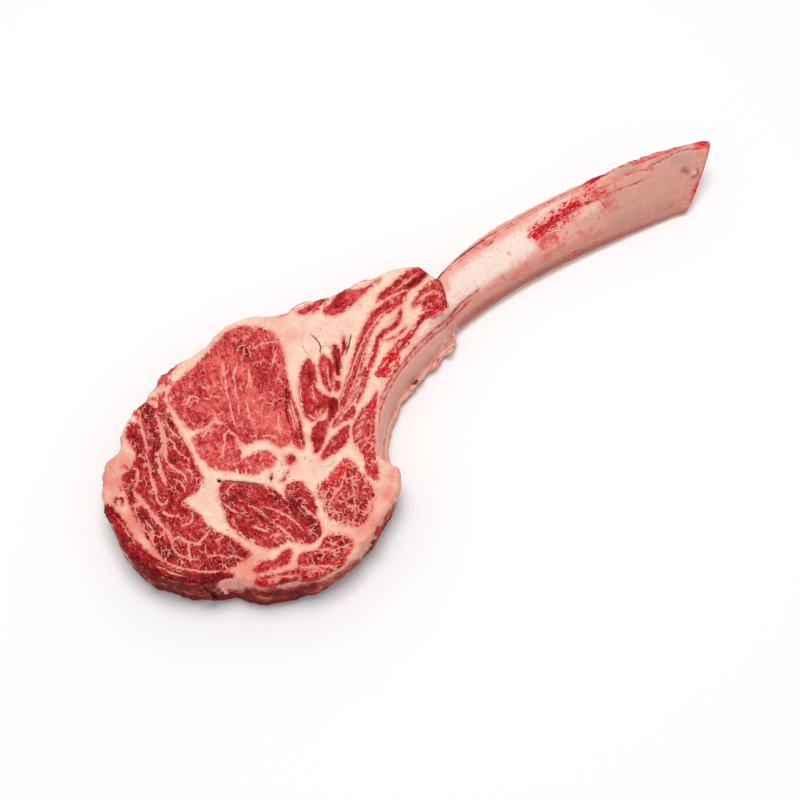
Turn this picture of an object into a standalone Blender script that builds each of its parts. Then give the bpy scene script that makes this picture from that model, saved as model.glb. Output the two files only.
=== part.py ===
"""Raw tomahawk steak: a thick rib steak lying on its lower cut face, with the whole cleaned rib bone.

Outlines are drawn in millimetres on the upper cut face, with the zero point near the place where
the rib leaves the meat, the bone running along +X and the meat on the -X side. CENTRE then moves
the finished pieces, so that the origin is under the middle of the whole.
"""
import math

import bmesh
import bpy
import numpy as np

MM = 0.001
CENTRE = (0.4, -5.9)

# Thickness of the steak and the rounding of its rims
FAT_TOP = 36.2
MUSCLE_TOP = 37.0
MUSCLE_ROOT = 33.0
MUSCLE_ROUND = 0.7
OUTLINE_STEP = 5.0
MUSCLE_STEP = 4.5

# Height and outward offset of the rings that make the side wall
WALL_PROFILE = [
    (0.0, -3.6), (0.9, -1.5), (4.0, -0.2), (12.0, 1.0), (22.0, 1.2), (30.5, 0.5), (34.6, -0.6), (36.2, -2.4),
]

# Where the lower rim stands further out or in than the upper one: x, y, reach and push
WALL_FLARES = [
    (-172.0, -66.0, 34.0, 4.2), (-118.0, -90.0, 26.0, -3.4), (-66.0, -64.0, 20.0, -4.6), (-215.0, -20.0, 24.0, 1.4),
]

# Low lumps that go round the side wall: waves round the outline, height of the wave, phase
WALL_LUMPS = [(7, 0.4, 0.4), (16, 0.4, 1.9), (29, 0.3, 3.0)]

# Upper cut face of the whole piece of meat, clockwise from the left end
MEAT_OUTLINE = [
    (-218, 0), (-216, 8), (-215, 16), (-213, 25), (-206, 36), (-200, 42.5), (-190, 45), (-182, 54),
    (-173, 59), (-161, 62.5), (-149, 68), (-134, 71.8), (-123, 71), (-112, 71.8), (-98, 75.8),
    (-86, 74.5), (-78, 71), (-66, 64.5), (-48, 61.3), (-33, 56.8), (-18, 54.6), (-3, 51.8), (8, 49.4),
    (18, 45.2), (22.6, 41), (23.4, 37), (26, 30.5), (27.5, 26), (25.6, 19), (23, 13.4), (15, 12),
    (6, 11), (-4, 8.6), (-14, 5.4), (-24, 1.8), (-34, -3), (-43, -11.4), (-50, -19.6), (-55, -26),
    (-60, -32), (-64.5, -38.5), (-68, -44.5), (-67.5, -48.5), (-63.6, -52.8), (-62, -57), (-64, -62.5),
    (-70, -68.4), (-78, -73.4), (-88, -78), (-98, -82.5), (-107, -85.6), (-118, -88.6), (-127, -88.4),
    (-138, -86.4), (-147, -81.5), (-156, -77), (-164, -72.5), (-171, -66.4), (-178, -58.6),
    (-186, -54), (-196, -48.8), (-203, -42), (-209.5, -34), (-214, -27), (-217, -15),
]

# Flesh that runs under the rib, up to FLESH_TOP, and ends in a step where the cleaned bone begins
FLESH_TOP = 11.0
FLESH_ROUND = 3.6
FLESH_OUTLINE = [
    (20.6, 6), (19.8, -1.6), (14.6, -5), (7.4, -6), (-0.6, -8.6), (-5.6, -9), (-11.6, -11.3), (-16.6, -11.9),
    (-22.5, -14.2), (-31.5, -16.6), (-38.4, -20.4), (-44.4, -25.4), (-50, -30.7), (-55, -36.7),
    (-58.8, -42.8), (-62.5, -50), (-74, -50), (-70, -30), (-50, -8), (-25, 8), (0, 16), (17, 17),
]

# Muscles of the cut face. Each stands a little proud of the fat and tendon round it
MUSCLES = {
    "eye": [
        (-149, 55), (-143, 59.6), (-137, 61), (-124, 63.5), (-112, 67), (-102, 70.3), (-96, 71.3),
        (-90, 69.5), (-83, 65), (-77, 58), (-75.6, 50), (-79, 38), (-84, 28), (-87, 20), (-90, 11),
        (-93, 0), (-97, -10), (-101, -16), (-104.5, -13.5), (-106, -9), (-111, -9), (-114, -4),
        (-116.5, 1.5), (-121, 4.5), (-128, 5), (-133, 1), (-134, -6), (-135, -12), (-139.5, -9.5),
        (-144, -4), (-150, 2), (-153, 10), (-152, 21), (-149.5, 27.5), (-148.5, 33), (-150, 43),
    ],
    "eye_tail": [
        (-131.5, -2.4), (-126, -2.6), (-121, -4.8), (-118, -9), (-118.5, -13.4), (-123, -15.3),
        (-128, -13.6), (-132.4, -11.4),
    ],
    "band": [
        (-152, 60), (-152.5, 50), (-155, 38), (-156, 22), (-158, 11), (-160, -0.5), (-168, -3.5),
        (-175.5, -3.5), (-174, -11), (-172, -18), (-172.5, -24), (-169.5, -31), (-165.5, -38),
        (-162, -47), (-162, -53), (-174, -53.2), (-185, -51), (-194, -44.5), (-201, -35.5),
        (-203.4, -22), (-203.6, -5), (-202, 10), (-200, 20), (-197, 28), (-189, 31), (-182.6, 37),
        (-182, 48), (-176, 54.5), (-164, 59.5),
    ],
    "cap": [
        (-152, -7.5), (-156.5, -13), (-160, -24), (-161.5, -32), (-158.5, -43), (-153, -53),
        (-147, -58), (-139.5, -58), (-137.4, -60.5), (-131, -66), (-126, -67), (-121, -64.5),
        (-118.5, -60), (-118, -54), (-114, -50.5), (-113.4, -44), (-114, -33), (-120.5, -29.6),
        (-126, -31), (-131, -24.6), (-140, -16.2), (-147, -10),
    ],
    "lattice": [
        (-110, -43), (-103, -39.8), (-98, -41.2), (-90, -38), (-84, -37.4), (-82.2, -46),
        (-82.4, -58), (-85.5, -66), (-95, -72.8), (-101, -73.6), (-107, -69.5), (-111.6, -63),
        (-112.2, -56), (-110.2, -50),
    ],
    "rib_strip": [
        (-78.6, -56.5), (-79.6, -50), (-76, -42), (-75, -31), (-71, -23), (-63, -17.6), (-54, -14.8),
        (-47, -12.6), (-51.5, -18.4), (-57, -25.2), (-62, -31.8), (-66.5, -38.8), (-70.5, -46),
        (-75, -54.5),
    ],
    "wedge_low": [
        (-97, -28.3), (-88, -22.2), (-79, -20), (-72, -19.6), (-75, -24.6), (-79.5, -28), (-90, -29.4),
    ],
    "wedge_high": [
        (-96.8, -24), (-95.8, -18), (-93.6, -13), (-90, -9.4), (-85.5, -8), (-80.5, -9.6), (-82, -13.5),
        (-88, -18.8),
    ],
    "finger_wide": [
        (-67.4, 29.4), (-76, 24.6), (-83.5, 15), (-87.6, 7), (-89.4, -1), (-87.5, -5.6), (-80, -5.2),
        (-74.5, -3.4), (-71.5, 1), (-73.4, 6.5), (-71.6, 14), (-68, 22),
    ],
    "finger_middle": [
        (-60.2, 25.6), (-64.4, 22.2), (-67.6, 16.4), (-69.8, 8), (-68.4, 3.4), (-62.4, 9.6),
        (-57.6, 17), (-57.6, 23),
    ],
    "finger_thin": [(-51.2, 27.6), (-48.4, 23.8), (-54, 14.6), (-58.6, 9.4), (-59.6, 12.4), (-54, 23)],
    "long_strip": [
        (-70, -6), (-60, 2), (-50, 10), (-43, 16), (-38, 21), (-30, 26), (-24, 30), (-17, 32.8),
        (-5, 33), (6, 31.6), (2, 28), (-6, 25.2), (-17, 26.6), (-25, 22.6), (-32, 17.4), (-40, 10.6),
        (-48, 3.8), (-56, -2.4), (-66, -8.6),
    ],
    "low_strip": [
        (-78, -13.6), (-70, -9.6), (-62, -6.6), (-53, -1.4), (-44, 5), (-41.6, 2.6), (-47, -2.6),
        (-55, -8.6), (-63, -12.6), (-71, -15.6),
    ],
    "top_strip": [
        (-13, 36), (-8, 39.4), (1, 40.8), (13, 41), (20.6, 39.8), (21, 36), (13, 33.6), (5, 33.8),
        (-3, 35.4),
    ],
    "tip": [
        (2.6, 20.6), (6, 24), (12, 26.4), (22, 27.4), (24.4, 25.4), (22.4, 20), (20.6, 16.4),
        (15, 15), (8, 14.4), (3, 15.4),
    ],
    "edge_strip_left": [(-56.5, 57.8), (-47, 57.2), (-39, 57), (-36.5, 55), (-43, 52.4), (-51, 53.2)],
    "edge_strip_right": [
        (-43.6, 49.6), (-36, 51.4), (-30, 53), (-24, 52.2), (-20, 50.2), (-13, 48.4), (-3, 47.4),
        (-14, 46), (-26, 43.6), (-38, 43),
    ],
    "lower_left": [
        (-165.5, -61.5), (-158, -59.8), (-152, -63.2), (-145.5, -61.6), (-141.2, -62.4), (-143, -66.8),
        (-147.4, -69), (-155, -66.8), (-163, -64.6),
    ],
    "lower_right": [
        (-140.5, -70), (-134.5, -69), (-129.5, -71.8), (-121.5, -68.8), (-115, -70.4), (-110.4, -76.4),
        (-110.8, -80.8), (-117, -83.4), (-124, -85.2), (-132, -84.2), (-140.6, -81.4), (-143.4, -76.6),
    ],
    "lower_edge": [
        (-166, -68), (-159, -69), (-152, -71.2), (-147, -74.4), (-148.6, -77.2), (-155, -74.8),
        (-162, -71.6),
    ],
}

# Open seams between muscles: the line that each follows, half its width and its depth
SEAMS = [
    ([(-152, -5), (-146, -10), (-139, -16), (-132, -22.4)], 0.7, 3.2),
    ([(-89, 21), (-93, 15.5), (-97, 9), (-99.6, 1), (-101.4, -7)], 0.6, 2.2),
]

# Rib bone, from its root in the meat to its sawn end. Each station has the middle of the bone (x, y, z),
# its roll from upright in degrees, half its width, half its thickness, and its skew along the bone
RIB_STATIONS = [
    (-72.7, -52.6, 20, 4, 11, 5.2, 0.0),
    (-71, -43.8, 20.6, 5, 12.2, 6.0, 0.0),
    (-66.4, -35.2, 21.2, 6, 13.2, 6.3, 0.0),
    (-57.8, -25.2, 21.4, 7, 13.8, 6.5, 0.0),
    (-39.4, -10.2, 21.6, 8, 14.2, 6.7, 0.0),
    (-19.6, -2.2, 21.4, 10, 14.4, 6.8, 0.0),
    (0.4, 4.2, 20.4, 15, 15, 7.0, 0.0),
    (12.4, 10, 19.2, 24, 16.8, 7.2, 0.0),
    (27, 16.2, 18.4, 34, 19.2, 7.4, 0.0),
    (44, 19.6, 18.8, 39, 20.6, 7.4, 0.0),
    (67, 20.6, 19.4, 42, 21, 7.0, 0.0),
    (92, 19.6, 19.5, 43, 21.4, 6.6, 0.0),
    (118, 17, 19.4, 43, 21.8, 6.2, 0.0),
    (144, 13.4, 19.4, 42, 22.2, 5.9, 0.0),
    (172, 8.6, 19.5, 40, 22.6, 5.6, 0.0),
    (192, 3.6, 19.6, 38, 22.8, 5.3, 0.2),
    (207, -1.6, 19.8, 37, 22.4, 5.0, 0.44),
]
RIB_RINGS = 44
RIB_SIDES = 24
RIB_SQUARENESS = 2.5
RIB_GAP = 0.3

# Slightly crowned sawn end: share of the last section and how far it stands out
SAWN_END = [(0.96, 0.9), (0.7, 2.2), (0.35, 2.8)]


def smooth_loop(points, step):
    """Closed curve through the points, with a new point about every step millimetres."""
    corners = np.array(points, float)
    before, after, beyond = (np.roll(corners, shift, axis=0) for shift in (1, -1, -2))
    share = np.linspace(0.0, 1.0, 12, endpoint=False)[None, :, None]
    a, b, c, d = (side[:, None, :] for side in (before, corners, after, beyond))
    dense = 0.5 * (2 * b + (c - a) * share + (2 * a - 5 * b + 4 * c - d) * share**2
                   + (3 * b - a - 3 * c + d) * share**3)
    dense = dense.reshape(-1, 2)
    lengths = np.linalg.norm(np.roll(dense, -1, axis=0) - dense, axis=1)
    walked = np.concatenate([[0.0], np.cumsum(lengths)])
    count = max(6, round(walked[-1] / step))
    marks = np.linspace(0.0, walked[-1], count, endpoint=False)
    closed = np.vstack([dense, dense[:1]])
    return np.column_stack([np.interp(marks, walked, closed[:, axis]) for axis in (0, 1)])


def outward(loop):
    """Unit normals of a closed clockwise loop, pointing out of it."""
    along = np.roll(loop, -1, axis=0) - np.roll(loop, 1, axis=0)
    normal = np.column_stack([-along[:, 1], along[:, 0]])
    return normal / np.linalg.norm(normal, axis=1)[:, None]


def placed(points_mm):
    """Drawing millimetres to metres round the origin."""
    moved = np.array(points_mm, float) - np.array([CENTRE[0], CENTRE[1], 0.0])
    return moved * MM


def material(name, colour, roughness):
    made = bpy.data.materials.new(name)
    made.use_nodes = True
    shader = made.node_tree.nodes["Principled BSDF"]
    shader.inputs["Base Color"].default_value = (*colour, 1.0)
    shader.inputs["Roughness"].default_value = roughness
    shader.inputs["Metallic"].default_value = 0.0
    return made


def add_mesh(name, mesh, collection):
    made = bpy.data.objects.new(name, mesh)
    collection.objects.link(made)
    return made


def loft(name, rings, collection):
    """Closed solid through rings of equal point counts, with a flat cap on the first and last ring."""
    count, sides = len(rings), len(rings[0])
    ring = np.arange(count - 1)[:, None] * sides
    this, following = np.arange(sides), np.roll(np.arange(sides), -1)
    quads = np.stack([ring + this, ring + following, ring + sides + following, ring + sides + this], -1)
    faces = [tuple(quad) for quad in quads.reshape(-1, 4).tolist()]
    faces.append(tuple(reversed(range(sides))))
    faces.append(tuple(range((count - 1) * sides, count * sides)))
    mesh = bpy.data.meshes.new(name)
    mesh.from_pydata(placed(np.concatenate(rings)).tolist(), [], faces)
    shape = bmesh.new()
    shape.from_mesh(mesh)
    bmesh.ops.recalc_face_normals(shape, faces=shape.faces)
    shape.to_mesh(mesh)
    shape.free()
    return add_mesh(name, mesh, collection)


def plate(name, loop, bottom, top, rounding, collection):
    """Flat outline with thickness: a filled 2D curve with rounded rims, made a mesh."""
    curve = bpy.data.curves.new(name, "CURVE")
    curve.dimensions = "2D"
    curve.fill_mode = "BOTH"
    curve.extrude = ((top - bottom) / 2 - rounding) * MM
    curve.bevel_depth = rounding * MM
    curve.bevel_resolution = 2 if rounding > 1 else 1
    curve.offset = -rounding * MM
    spline = curve.splines.new("POLY")
    spline.points.add(len(loop) - 1)
    spline.use_cyclic_u = True
    flat = placed(np.column_stack([loop, np.zeros(len(loop))]))
    spline.points.foreach_set("co", np.column_stack([flat, np.ones(len(loop))]).ravel())
    drawn = bpy.data.objects.new(name + "_curve", curve)
    drawn.location.z = (top + bottom) / 2 * MM
    collection.objects.link(drawn)
    graph = bpy.context.evaluated_depsgraph_get()
    mesh = bpy.data.meshes.new_from_object(drawn.evaluated_get(graph))
    shape = bmesh.new()
    shape.from_mesh(mesh)
    bmesh.ops.remove_doubles(shape, verts=shape.verts, dist=0.00001)
    bmesh.ops.recalc_face_normals(shape, faces=shape.faces)
    shape.to_mesh(mesh)
    shape.free()
    made = add_mesh(name, mesh, collection)
    made.matrix_world = drawn.matrix_world.copy()
    bpy.data.objects.remove(drawn)
    return made


def wall_rings():
    """The side wall as rings: the outline moved in and out by the profile, the flares and the lumps."""
    loop = smooth_loop(MEAT_OUTLINE, OUTLINE_STEP)
    normal = outward(loop)
    turn = np.linspace(0.0, 2 * math.pi, len(loop), endpoint=False)
    rings = []
    for height, offset in WALL_PROFILE:
        up = height / FAT_TOP
        push = np.full(len(loop), offset)
        for x, y, reach, amount in WALL_FLARES:
            away = np.hypot(loop[:, 0] - x, loop[:, 1] - y)
            push += amount * (1 - up) * np.exp(-((away / reach) ** 2))
        for waves, size, phase in WALL_LUMPS:
            push += size * math.sin(math.pi * up) * np.sin(waves * turn + phase + 3 * up)
        rings.append(np.column_stack([loop + normal * push[:, None], np.full(len(loop), height)]))
    return rings


def rib_rings(grow):
    """Rounded oval sections carried along the bone, each rolled and skewed as its station says."""
    stations = np.array(RIB_STATIONS, float)
    reach = np.concatenate([[0.0], np.cumsum(np.linalg.norm(np.diff(stations[:, :3], axis=0), axis=1))])
    marks = np.linspace(0.0, reach[-1], RIB_RINGS)
    slopes = np.gradient(stations, reach, axis=0)
    rows = np.column_stack([hermite(marks, reach, stations[:, k], slopes[:, k]) for k in range(7)])
    middle, roll, skew = rows[:, :3], np.radians(rows[:, 3]), rows[:, 6]
    half_width, half_thickness = rows[:, 4] + grow, rows[:, 5] + grow
    along = np.gradient(middle, marks, axis=0)
    along[:, 2] = 0.0
    along /= np.linalg.norm(along, axis=1)[:, None]
    side = np.column_stack([-along[:, 1], along[:, 0], np.zeros(len(along))])
    up = np.array([0.0, 0.0, 1.0])
    wide = side * np.sin(roll)[:, None] + up * np.cos(roll)[:, None]
    thin = up * np.sin(roll)[:, None] - side * np.cos(roll)[:, None]
    turn = np.linspace(0.0, 2 * math.pi, RIB_SIDES, endpoint=False)
    power = 2 / RIB_SQUARENESS
    across = np.sign(np.cos(turn)) * np.abs(np.cos(turn)) ** power
    through = np.sign(np.sin(turn)) * np.abs(np.sin(turn)) ** power
    rings = []
    for k in range(RIB_RINGS):
        width_part = np.outer(across * half_width[k], wide[k] + skew[k] * along[k])
        rings.append(middle[k] + width_part + np.outer(through * half_thickness[k], thin[k]))
    first = middle[0] + (rings[0] - middle[0]) * 0.8 - along[0] * (1.2 + grow)
    ends = [middle[-1] + (rings[-1] - middle[-1]) * share + along[-1] * (out + grow) for share, out in SAWN_END]
    return [first] + rings + ends


def hermite(marks, knots, values, slopes):
    """Smooth curve through values at knots, with the given slopes, read at the marks."""
    k = np.clip(np.searchsorted(knots, marks, side="right") - 1, 0, len(knots) - 2)
    span = knots[k + 1] - knots[k]
    t = (marks - knots[k]) / span
    return ((2 * t**3 - 3 * t**2 + 1) * values[k] + (t**3 - 2 * t**2 + t) * span * slopes[k]
            + (3 * t**2 - 2 * t**3) * values[k + 1] + (t**3 - t**2) * span * slopes[k + 1])


def seam_loop(line, half_width):
    """Narrow leaf-shaped outline round a seam's line, pointed at both ends."""
    path = np.array(line, float)
    along = np.gradient(path, axis=0)
    normal = np.column_stack([-along[:, 1], along[:, 0]])
    normal /= np.linalg.norm(normal, axis=1)[:, None]
    width = half_width * np.sin(np.linspace(0.25, math.pi - 0.25, len(path)))[:, None]
    return np.vstack([path + normal * width, (path - normal * width)[::-1]])


def boolean(target, operation, other=None, collection=None):
    made = target.modifiers.new(operation.lower(), "BOOLEAN")
    made.operation = operation
    made.solver = "MANIFOLD"
    if collection:
        made.operand_type = "COLLECTION"
        made.collection = collection
    else:
        made.object = other
    return made


def applied(target):
    """The target's modifiers become part of its mesh."""
    graph = bpy.context.evaluated_depsgraph_get()
    mesh = bpy.data.meshes.new_from_object(target.evaluated_get(graph))
    target.modifiers.clear()
    target.data = mesh


def shade(target, angle):
    target.data.shade_smooth()
    target.data.set_sharp_from_angle(angle=math.radians(angle))


def make_meat(steak, cutters):
    """Slab of meat with its muscles and the flesh under the rib joined on, cut clear of the rib."""
    meat = loft("meat", wall_rings(), steak)
    reliefs = bpy.data.collections.new("reliefs")
    bpy.context.scene.collection.children.link(reliefs)
    for name, outline in MUSCLES.items():
        loop = smooth_loop(outline, MUSCLE_STEP)
        plate("muscle_" + name, loop, MUSCLE_ROOT, MUSCLE_TOP, MUSCLE_ROUND, reliefs)
    plate("flesh_under_rib", smooth_loop(FLESH_OUTLINE, OUTLINE_STEP), 0.0, FLESH_TOP, FLESH_ROUND, reliefs)
    boolean(meat, "UNION", collection=reliefs)
    applied(meat)
    for piece in list(reliefs.objects):
        bpy.data.objects.remove(piece)
    bpy.data.collections.remove(reliefs)

    room = loft("rib_room", rib_rings(RIB_GAP), cutters)
    boolean(meat, "DIFFERENCE", other=room)
    for number, (line, half_width, depth) in enumerate(SEAMS):
        loop = seam_loop(line, half_width)
        cut = plate(f"seam_{number}", loop, FAT_TOP - depth, MUSCLE_TOP + 2.0, 0.0, cutters)
        boolean(meat, "DIFFERENCE", other=cut)
    applied(meat)
    shade(meat, 40)
    meat.data.materials.clear()
    meat.data.materials.append(material("raw_meat", (0.52, 0.11, 0.10), 0.42))
    return meat


def make_rib(steak):
    """The rib bone, whole, from its root in the meat to its sawn end."""
    rib = loft("rib_bone", rib_rings(0.0), steak)
    shade(rib, 40)
    rib.data.materials.append(material("rib_bone", (0.80, 0.60, 0.50), 0.45))
    return rib


def main():
    for old in list(bpy.data.objects):
        bpy.data.objects.remove(old)
    steak = bpy.data.collections.new("tomahawk_steak")
    cutters = bpy.data.collections.new("cutters")
    for collection in (steak, cutters):
        bpy.context.scene.collection.children.link(collection)
    make_meat(steak, cutters)
    make_rib(steak)
    for cutter in cutters.objects:
        cutter.hide_render = True
        cutter.display_type = "WIRE"


main()
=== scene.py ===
"""Raw tomahawk steak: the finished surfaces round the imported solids.

Outlines are drawn in millimetres on the upper cut face, as the solids are: zero is near the place
where the rib leaves the meat, the bone runs along +X and the meat lies on the -X side.
"""
import itertools
import math

import bpy
import numpy as np
from bpy.props import FloatProperty, FloatVectorProperty, IntProperty, PointerProperty
from mathutils import Matrix, Vector


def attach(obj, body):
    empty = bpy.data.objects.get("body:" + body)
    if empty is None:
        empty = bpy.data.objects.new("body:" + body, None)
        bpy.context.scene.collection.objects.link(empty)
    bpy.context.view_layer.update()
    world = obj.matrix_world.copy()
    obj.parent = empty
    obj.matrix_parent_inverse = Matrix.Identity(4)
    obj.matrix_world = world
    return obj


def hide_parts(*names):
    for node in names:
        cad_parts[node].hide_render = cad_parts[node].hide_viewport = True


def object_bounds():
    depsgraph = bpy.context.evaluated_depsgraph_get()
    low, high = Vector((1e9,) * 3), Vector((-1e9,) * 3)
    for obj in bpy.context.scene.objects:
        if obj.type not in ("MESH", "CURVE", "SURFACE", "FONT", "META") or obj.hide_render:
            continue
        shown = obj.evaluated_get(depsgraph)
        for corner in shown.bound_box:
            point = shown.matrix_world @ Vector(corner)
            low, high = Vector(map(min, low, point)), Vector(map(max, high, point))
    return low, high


bl_info = {
    "name": "Raw tomahawk steak",
    "version": (1, 0, 0),
    "blender": (4, 5, 0),
    "location": "3D View > Sidebar > Steak",
    "description": "Builds the meat, the rib bone and a plain studio round the packed solids",
    "category": "Add Mesh",
}

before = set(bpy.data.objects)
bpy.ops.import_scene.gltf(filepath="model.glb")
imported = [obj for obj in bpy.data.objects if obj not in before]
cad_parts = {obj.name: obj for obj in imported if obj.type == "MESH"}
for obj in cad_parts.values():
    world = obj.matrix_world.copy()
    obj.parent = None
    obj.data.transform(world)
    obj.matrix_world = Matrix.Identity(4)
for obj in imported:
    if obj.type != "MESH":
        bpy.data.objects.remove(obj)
CAD_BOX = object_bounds()

MM = 0.001
CENTRE = (0.4, -5.9)

# Camera, floor and light, in metres
CAMERA_PLACE = (-0.2349, -0.2984, 0.8831)
CAMERA_TILT = math.radians(68)
CAMERA_HEADING = math.radians(35)
SENSOR_WIDTH = 36.0
FLOOR_HALF = 3.0
LIGHT_PLACE = (-0.02, 0.08, 1.6)
LIGHT_AIM = (-0.02, 0.0, 0.0)
LIGHT_SIZE = 0.6

# Marks are drawn where the camera sees them on a level plane. A place below the plane shows nearer the
# camera there, by the slant times its depth.
SLANT = (0.232, 0.331)
TO_CAMERA = (-0.2149, -0.3069, 0.9272)
FACE_PLANE = 37.0
BONE_PLANE = 30.0

# How often a curve is read between two of its points, and after how many cells the noise repeats
READINGS = 12
NOISE_CELLS = 32

# What a map says where there is no mark, what stands for far away, and how many distances are taken at once
NO_MARK = (9.0, 9.0, 0.0)
FAR_AWAY = 99.0
PAIRS_AT_ONCE = 4_000_000

# Heights of the cut face and of the flesh that runs on under the rib, and how steeply that rises inwards
FAT_TOP = 36.0
MUSCLE_RISE = 0.8
FLESH_TOP = 8.6
FLESH_SLOPE = 2.3

# Side walls: share of the height and outward offset of each level, for the cut slab and for the low flesh
WALL_PROFILE = [
    (1.0, -2.3), (0.985, -1.4), (0.955, -0.7), (0.9, 0.0), (0.82, 0.6), (0.7, 1.0), (0.56, 1.2), (0.42, 1.1),
    (0.28, 0.9), (0.15, 0.2), (0.06, -0.8), (0.0, -3.4),
]
LOW_PROFILE = [
    (1.0, -2.3), (0.96, -1.6), (0.9, -1.0), (0.82, -0.5), (0.74, -0.2), (0.64, 0.0), (0.53, 0.1), (0.4, 0.0),
    (0.27, -0.3), (0.15, -0.9), (0.06, -1.8), (0.0, -3.2),
]
RIM_INSET = -WALL_PROFILE[0][1]

# Bulges and hollows of the wall: middle, reach and how far it goes out at the foot
WALL_FLARES = [
    (-172.0, -66.0, 34.0, 4.2), (-118.0, -90.0, 26.0, -3.4), (-66.0, -64.0, 20.0, -4.6),
    (-215.0, -20.0, 24.0, 1.4),
]

# The outline wavers less past this X. The rim's corners are spread evenly in rounds, and so many rows of
# corners next to the rim are relaxed in so many rounds.
CALM_PAST = -62.0
SPREAD_ROUNDS = 300
TOP_RELAX = (6, 30)
UNDER_RELAX = (10, 60)

# Depth of the underside's hollows
UNDER_HOLLOW = 0.5

# Upper cut face, clockwise from the left end, without the flesh that runs under the rib
FACE_OUTLINE = [
    (-218, 0), (-216, 8), (-215, 16), (-213, 25), (-206, 36), (-200, 42.5), (-190, 45), (-182, 54),
    (-173, 59), (-161, 62.5), (-149, 68), (-134, 71.8), (-123, 71), (-112, 71.8), (-98, 75.8),
    (-86, 74.5), (-78, 71), (-66, 64.5), (-48, 61.3), (-33, 56.8), (-18, 54.6), (-3, 51.8), (8, 49.4),
    (18, 45.2), (22.6, 41), (23.4, 37), (26, 30.5), (27.5, 26), (25.6, 19), (23, 13.4), (15, 12),
    (6, 11), (-4, 8.6), (-14, 5.4), (-24, 1.8), (-34, -3), (-43, -11.4), (-50, -19.6), (-55, -26),
    (-60, -32), (-64.5, -38.5), (-68, -44.5), (-67.5, -48.5), (-63.6, -52.8), (-62, -57), (-64, -62.5),
    (-70, -68.4), (-78, -73.4), (-88, -78), (-98, -82.5), (-107, -85.6), (-118, -88.6), (-127, -88.4),
    (-138, -86.4), (-147, -81.5), (-156, -77), (-164, -72.5), (-171, -66.4), (-178, -58.6),
    (-186, -54), (-196, -48.8), (-203, -42), (-209.5, -34), (-214, -27), (-217, -15),
]
FACE_BEFORE_FLESH = 30
FACE_AFTER_FLESH = 43
FLESH_EDGE = [
    (20.6, 6), (19.8, -1.6), (14.6, -5), (7.4, -6), (-0.6, -8.6), (-5.6, -9), (-11.6, -11.3), (-16.6, -11.9),
    (-22.5, -14.2), (-31.5, -16.6), (-38.4, -20.4), (-44.4, -25.4), (-50, -30.7), (-55, -36.7),
    (-58.8, -42.8), (-61.6, -48.6),
]
PLAN_OUTLINE = FACE_OUTLINE[:FACE_BEFORE_FLESH] + FLESH_EDGE + FACE_OUTLINE[FACE_AFTER_FLESH:]

# Rib bone: middle (x, y, z), roll from upright in degrees, half width, half thickness, skew along the bone
RIB_STATIONS = [
    (-72.7, -52.6, 20, 4, 11, 5.2, 0.0),
    (-71, -43.8, 20.6, 5, 12.2, 6.0, 0.0),
    (-66.4, -35.2, 21.2, 6, 13.2, 6.3, 0.0),
    (-57.8, -25.2, 21.4, 7, 13.8, 6.5, 0.0),
    (-39.4, -10.2, 21.6, 8, 14.2, 6.7, 0.0),
    (-19.6, -2.2, 21.4, 10, 14.4, 6.8, 0.0),
    (0.4, 4.2, 20.4, 15, 15, 7.0, 0.0),
    (12.4, 10, 19.2, 24, 16.8, 7.2, 0.0),
    (27, 16.2, 18.4, 34, 19.2, 7.4, 0.0),
    (44, 19.6, 18.8, 39, 20.6, 7.4, 0.0),
    (67, 20.6, 19.4, 42, 21, 7.0, 0.0),
    (92, 19.6, 19.5, 43, 21.4, 6.6, 0.0),
    (118, 17, 19.4, 43, 21.8, 6.2, 0.0),
    (144, 13.4, 19.4, 42, 22.2, 5.9, 0.0),
    (172, 8.6, 19.5, 40, 22.6, 5.6, 0.0),
    (192, 3.6, 19.6, 38, 22.8, 5.3, 0.2),
    (207, -1.6, 19.8, 37, 22.4, 5.0, 0.44),
]
RIB_SQUARENESS = 2.5
ROOT_END = [(0.3, 1.6), (0.6, 1.3), (0.85, 0.6)]
ROOT_REACH = 1.7
SAWN_END = [(0.985, 0.35), (0.95, 0.9), (0.86, 1.5), (0.7, 2.0), (0.5, 2.3), (0.28, 2.5), (0.1, 2.6)]

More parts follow.
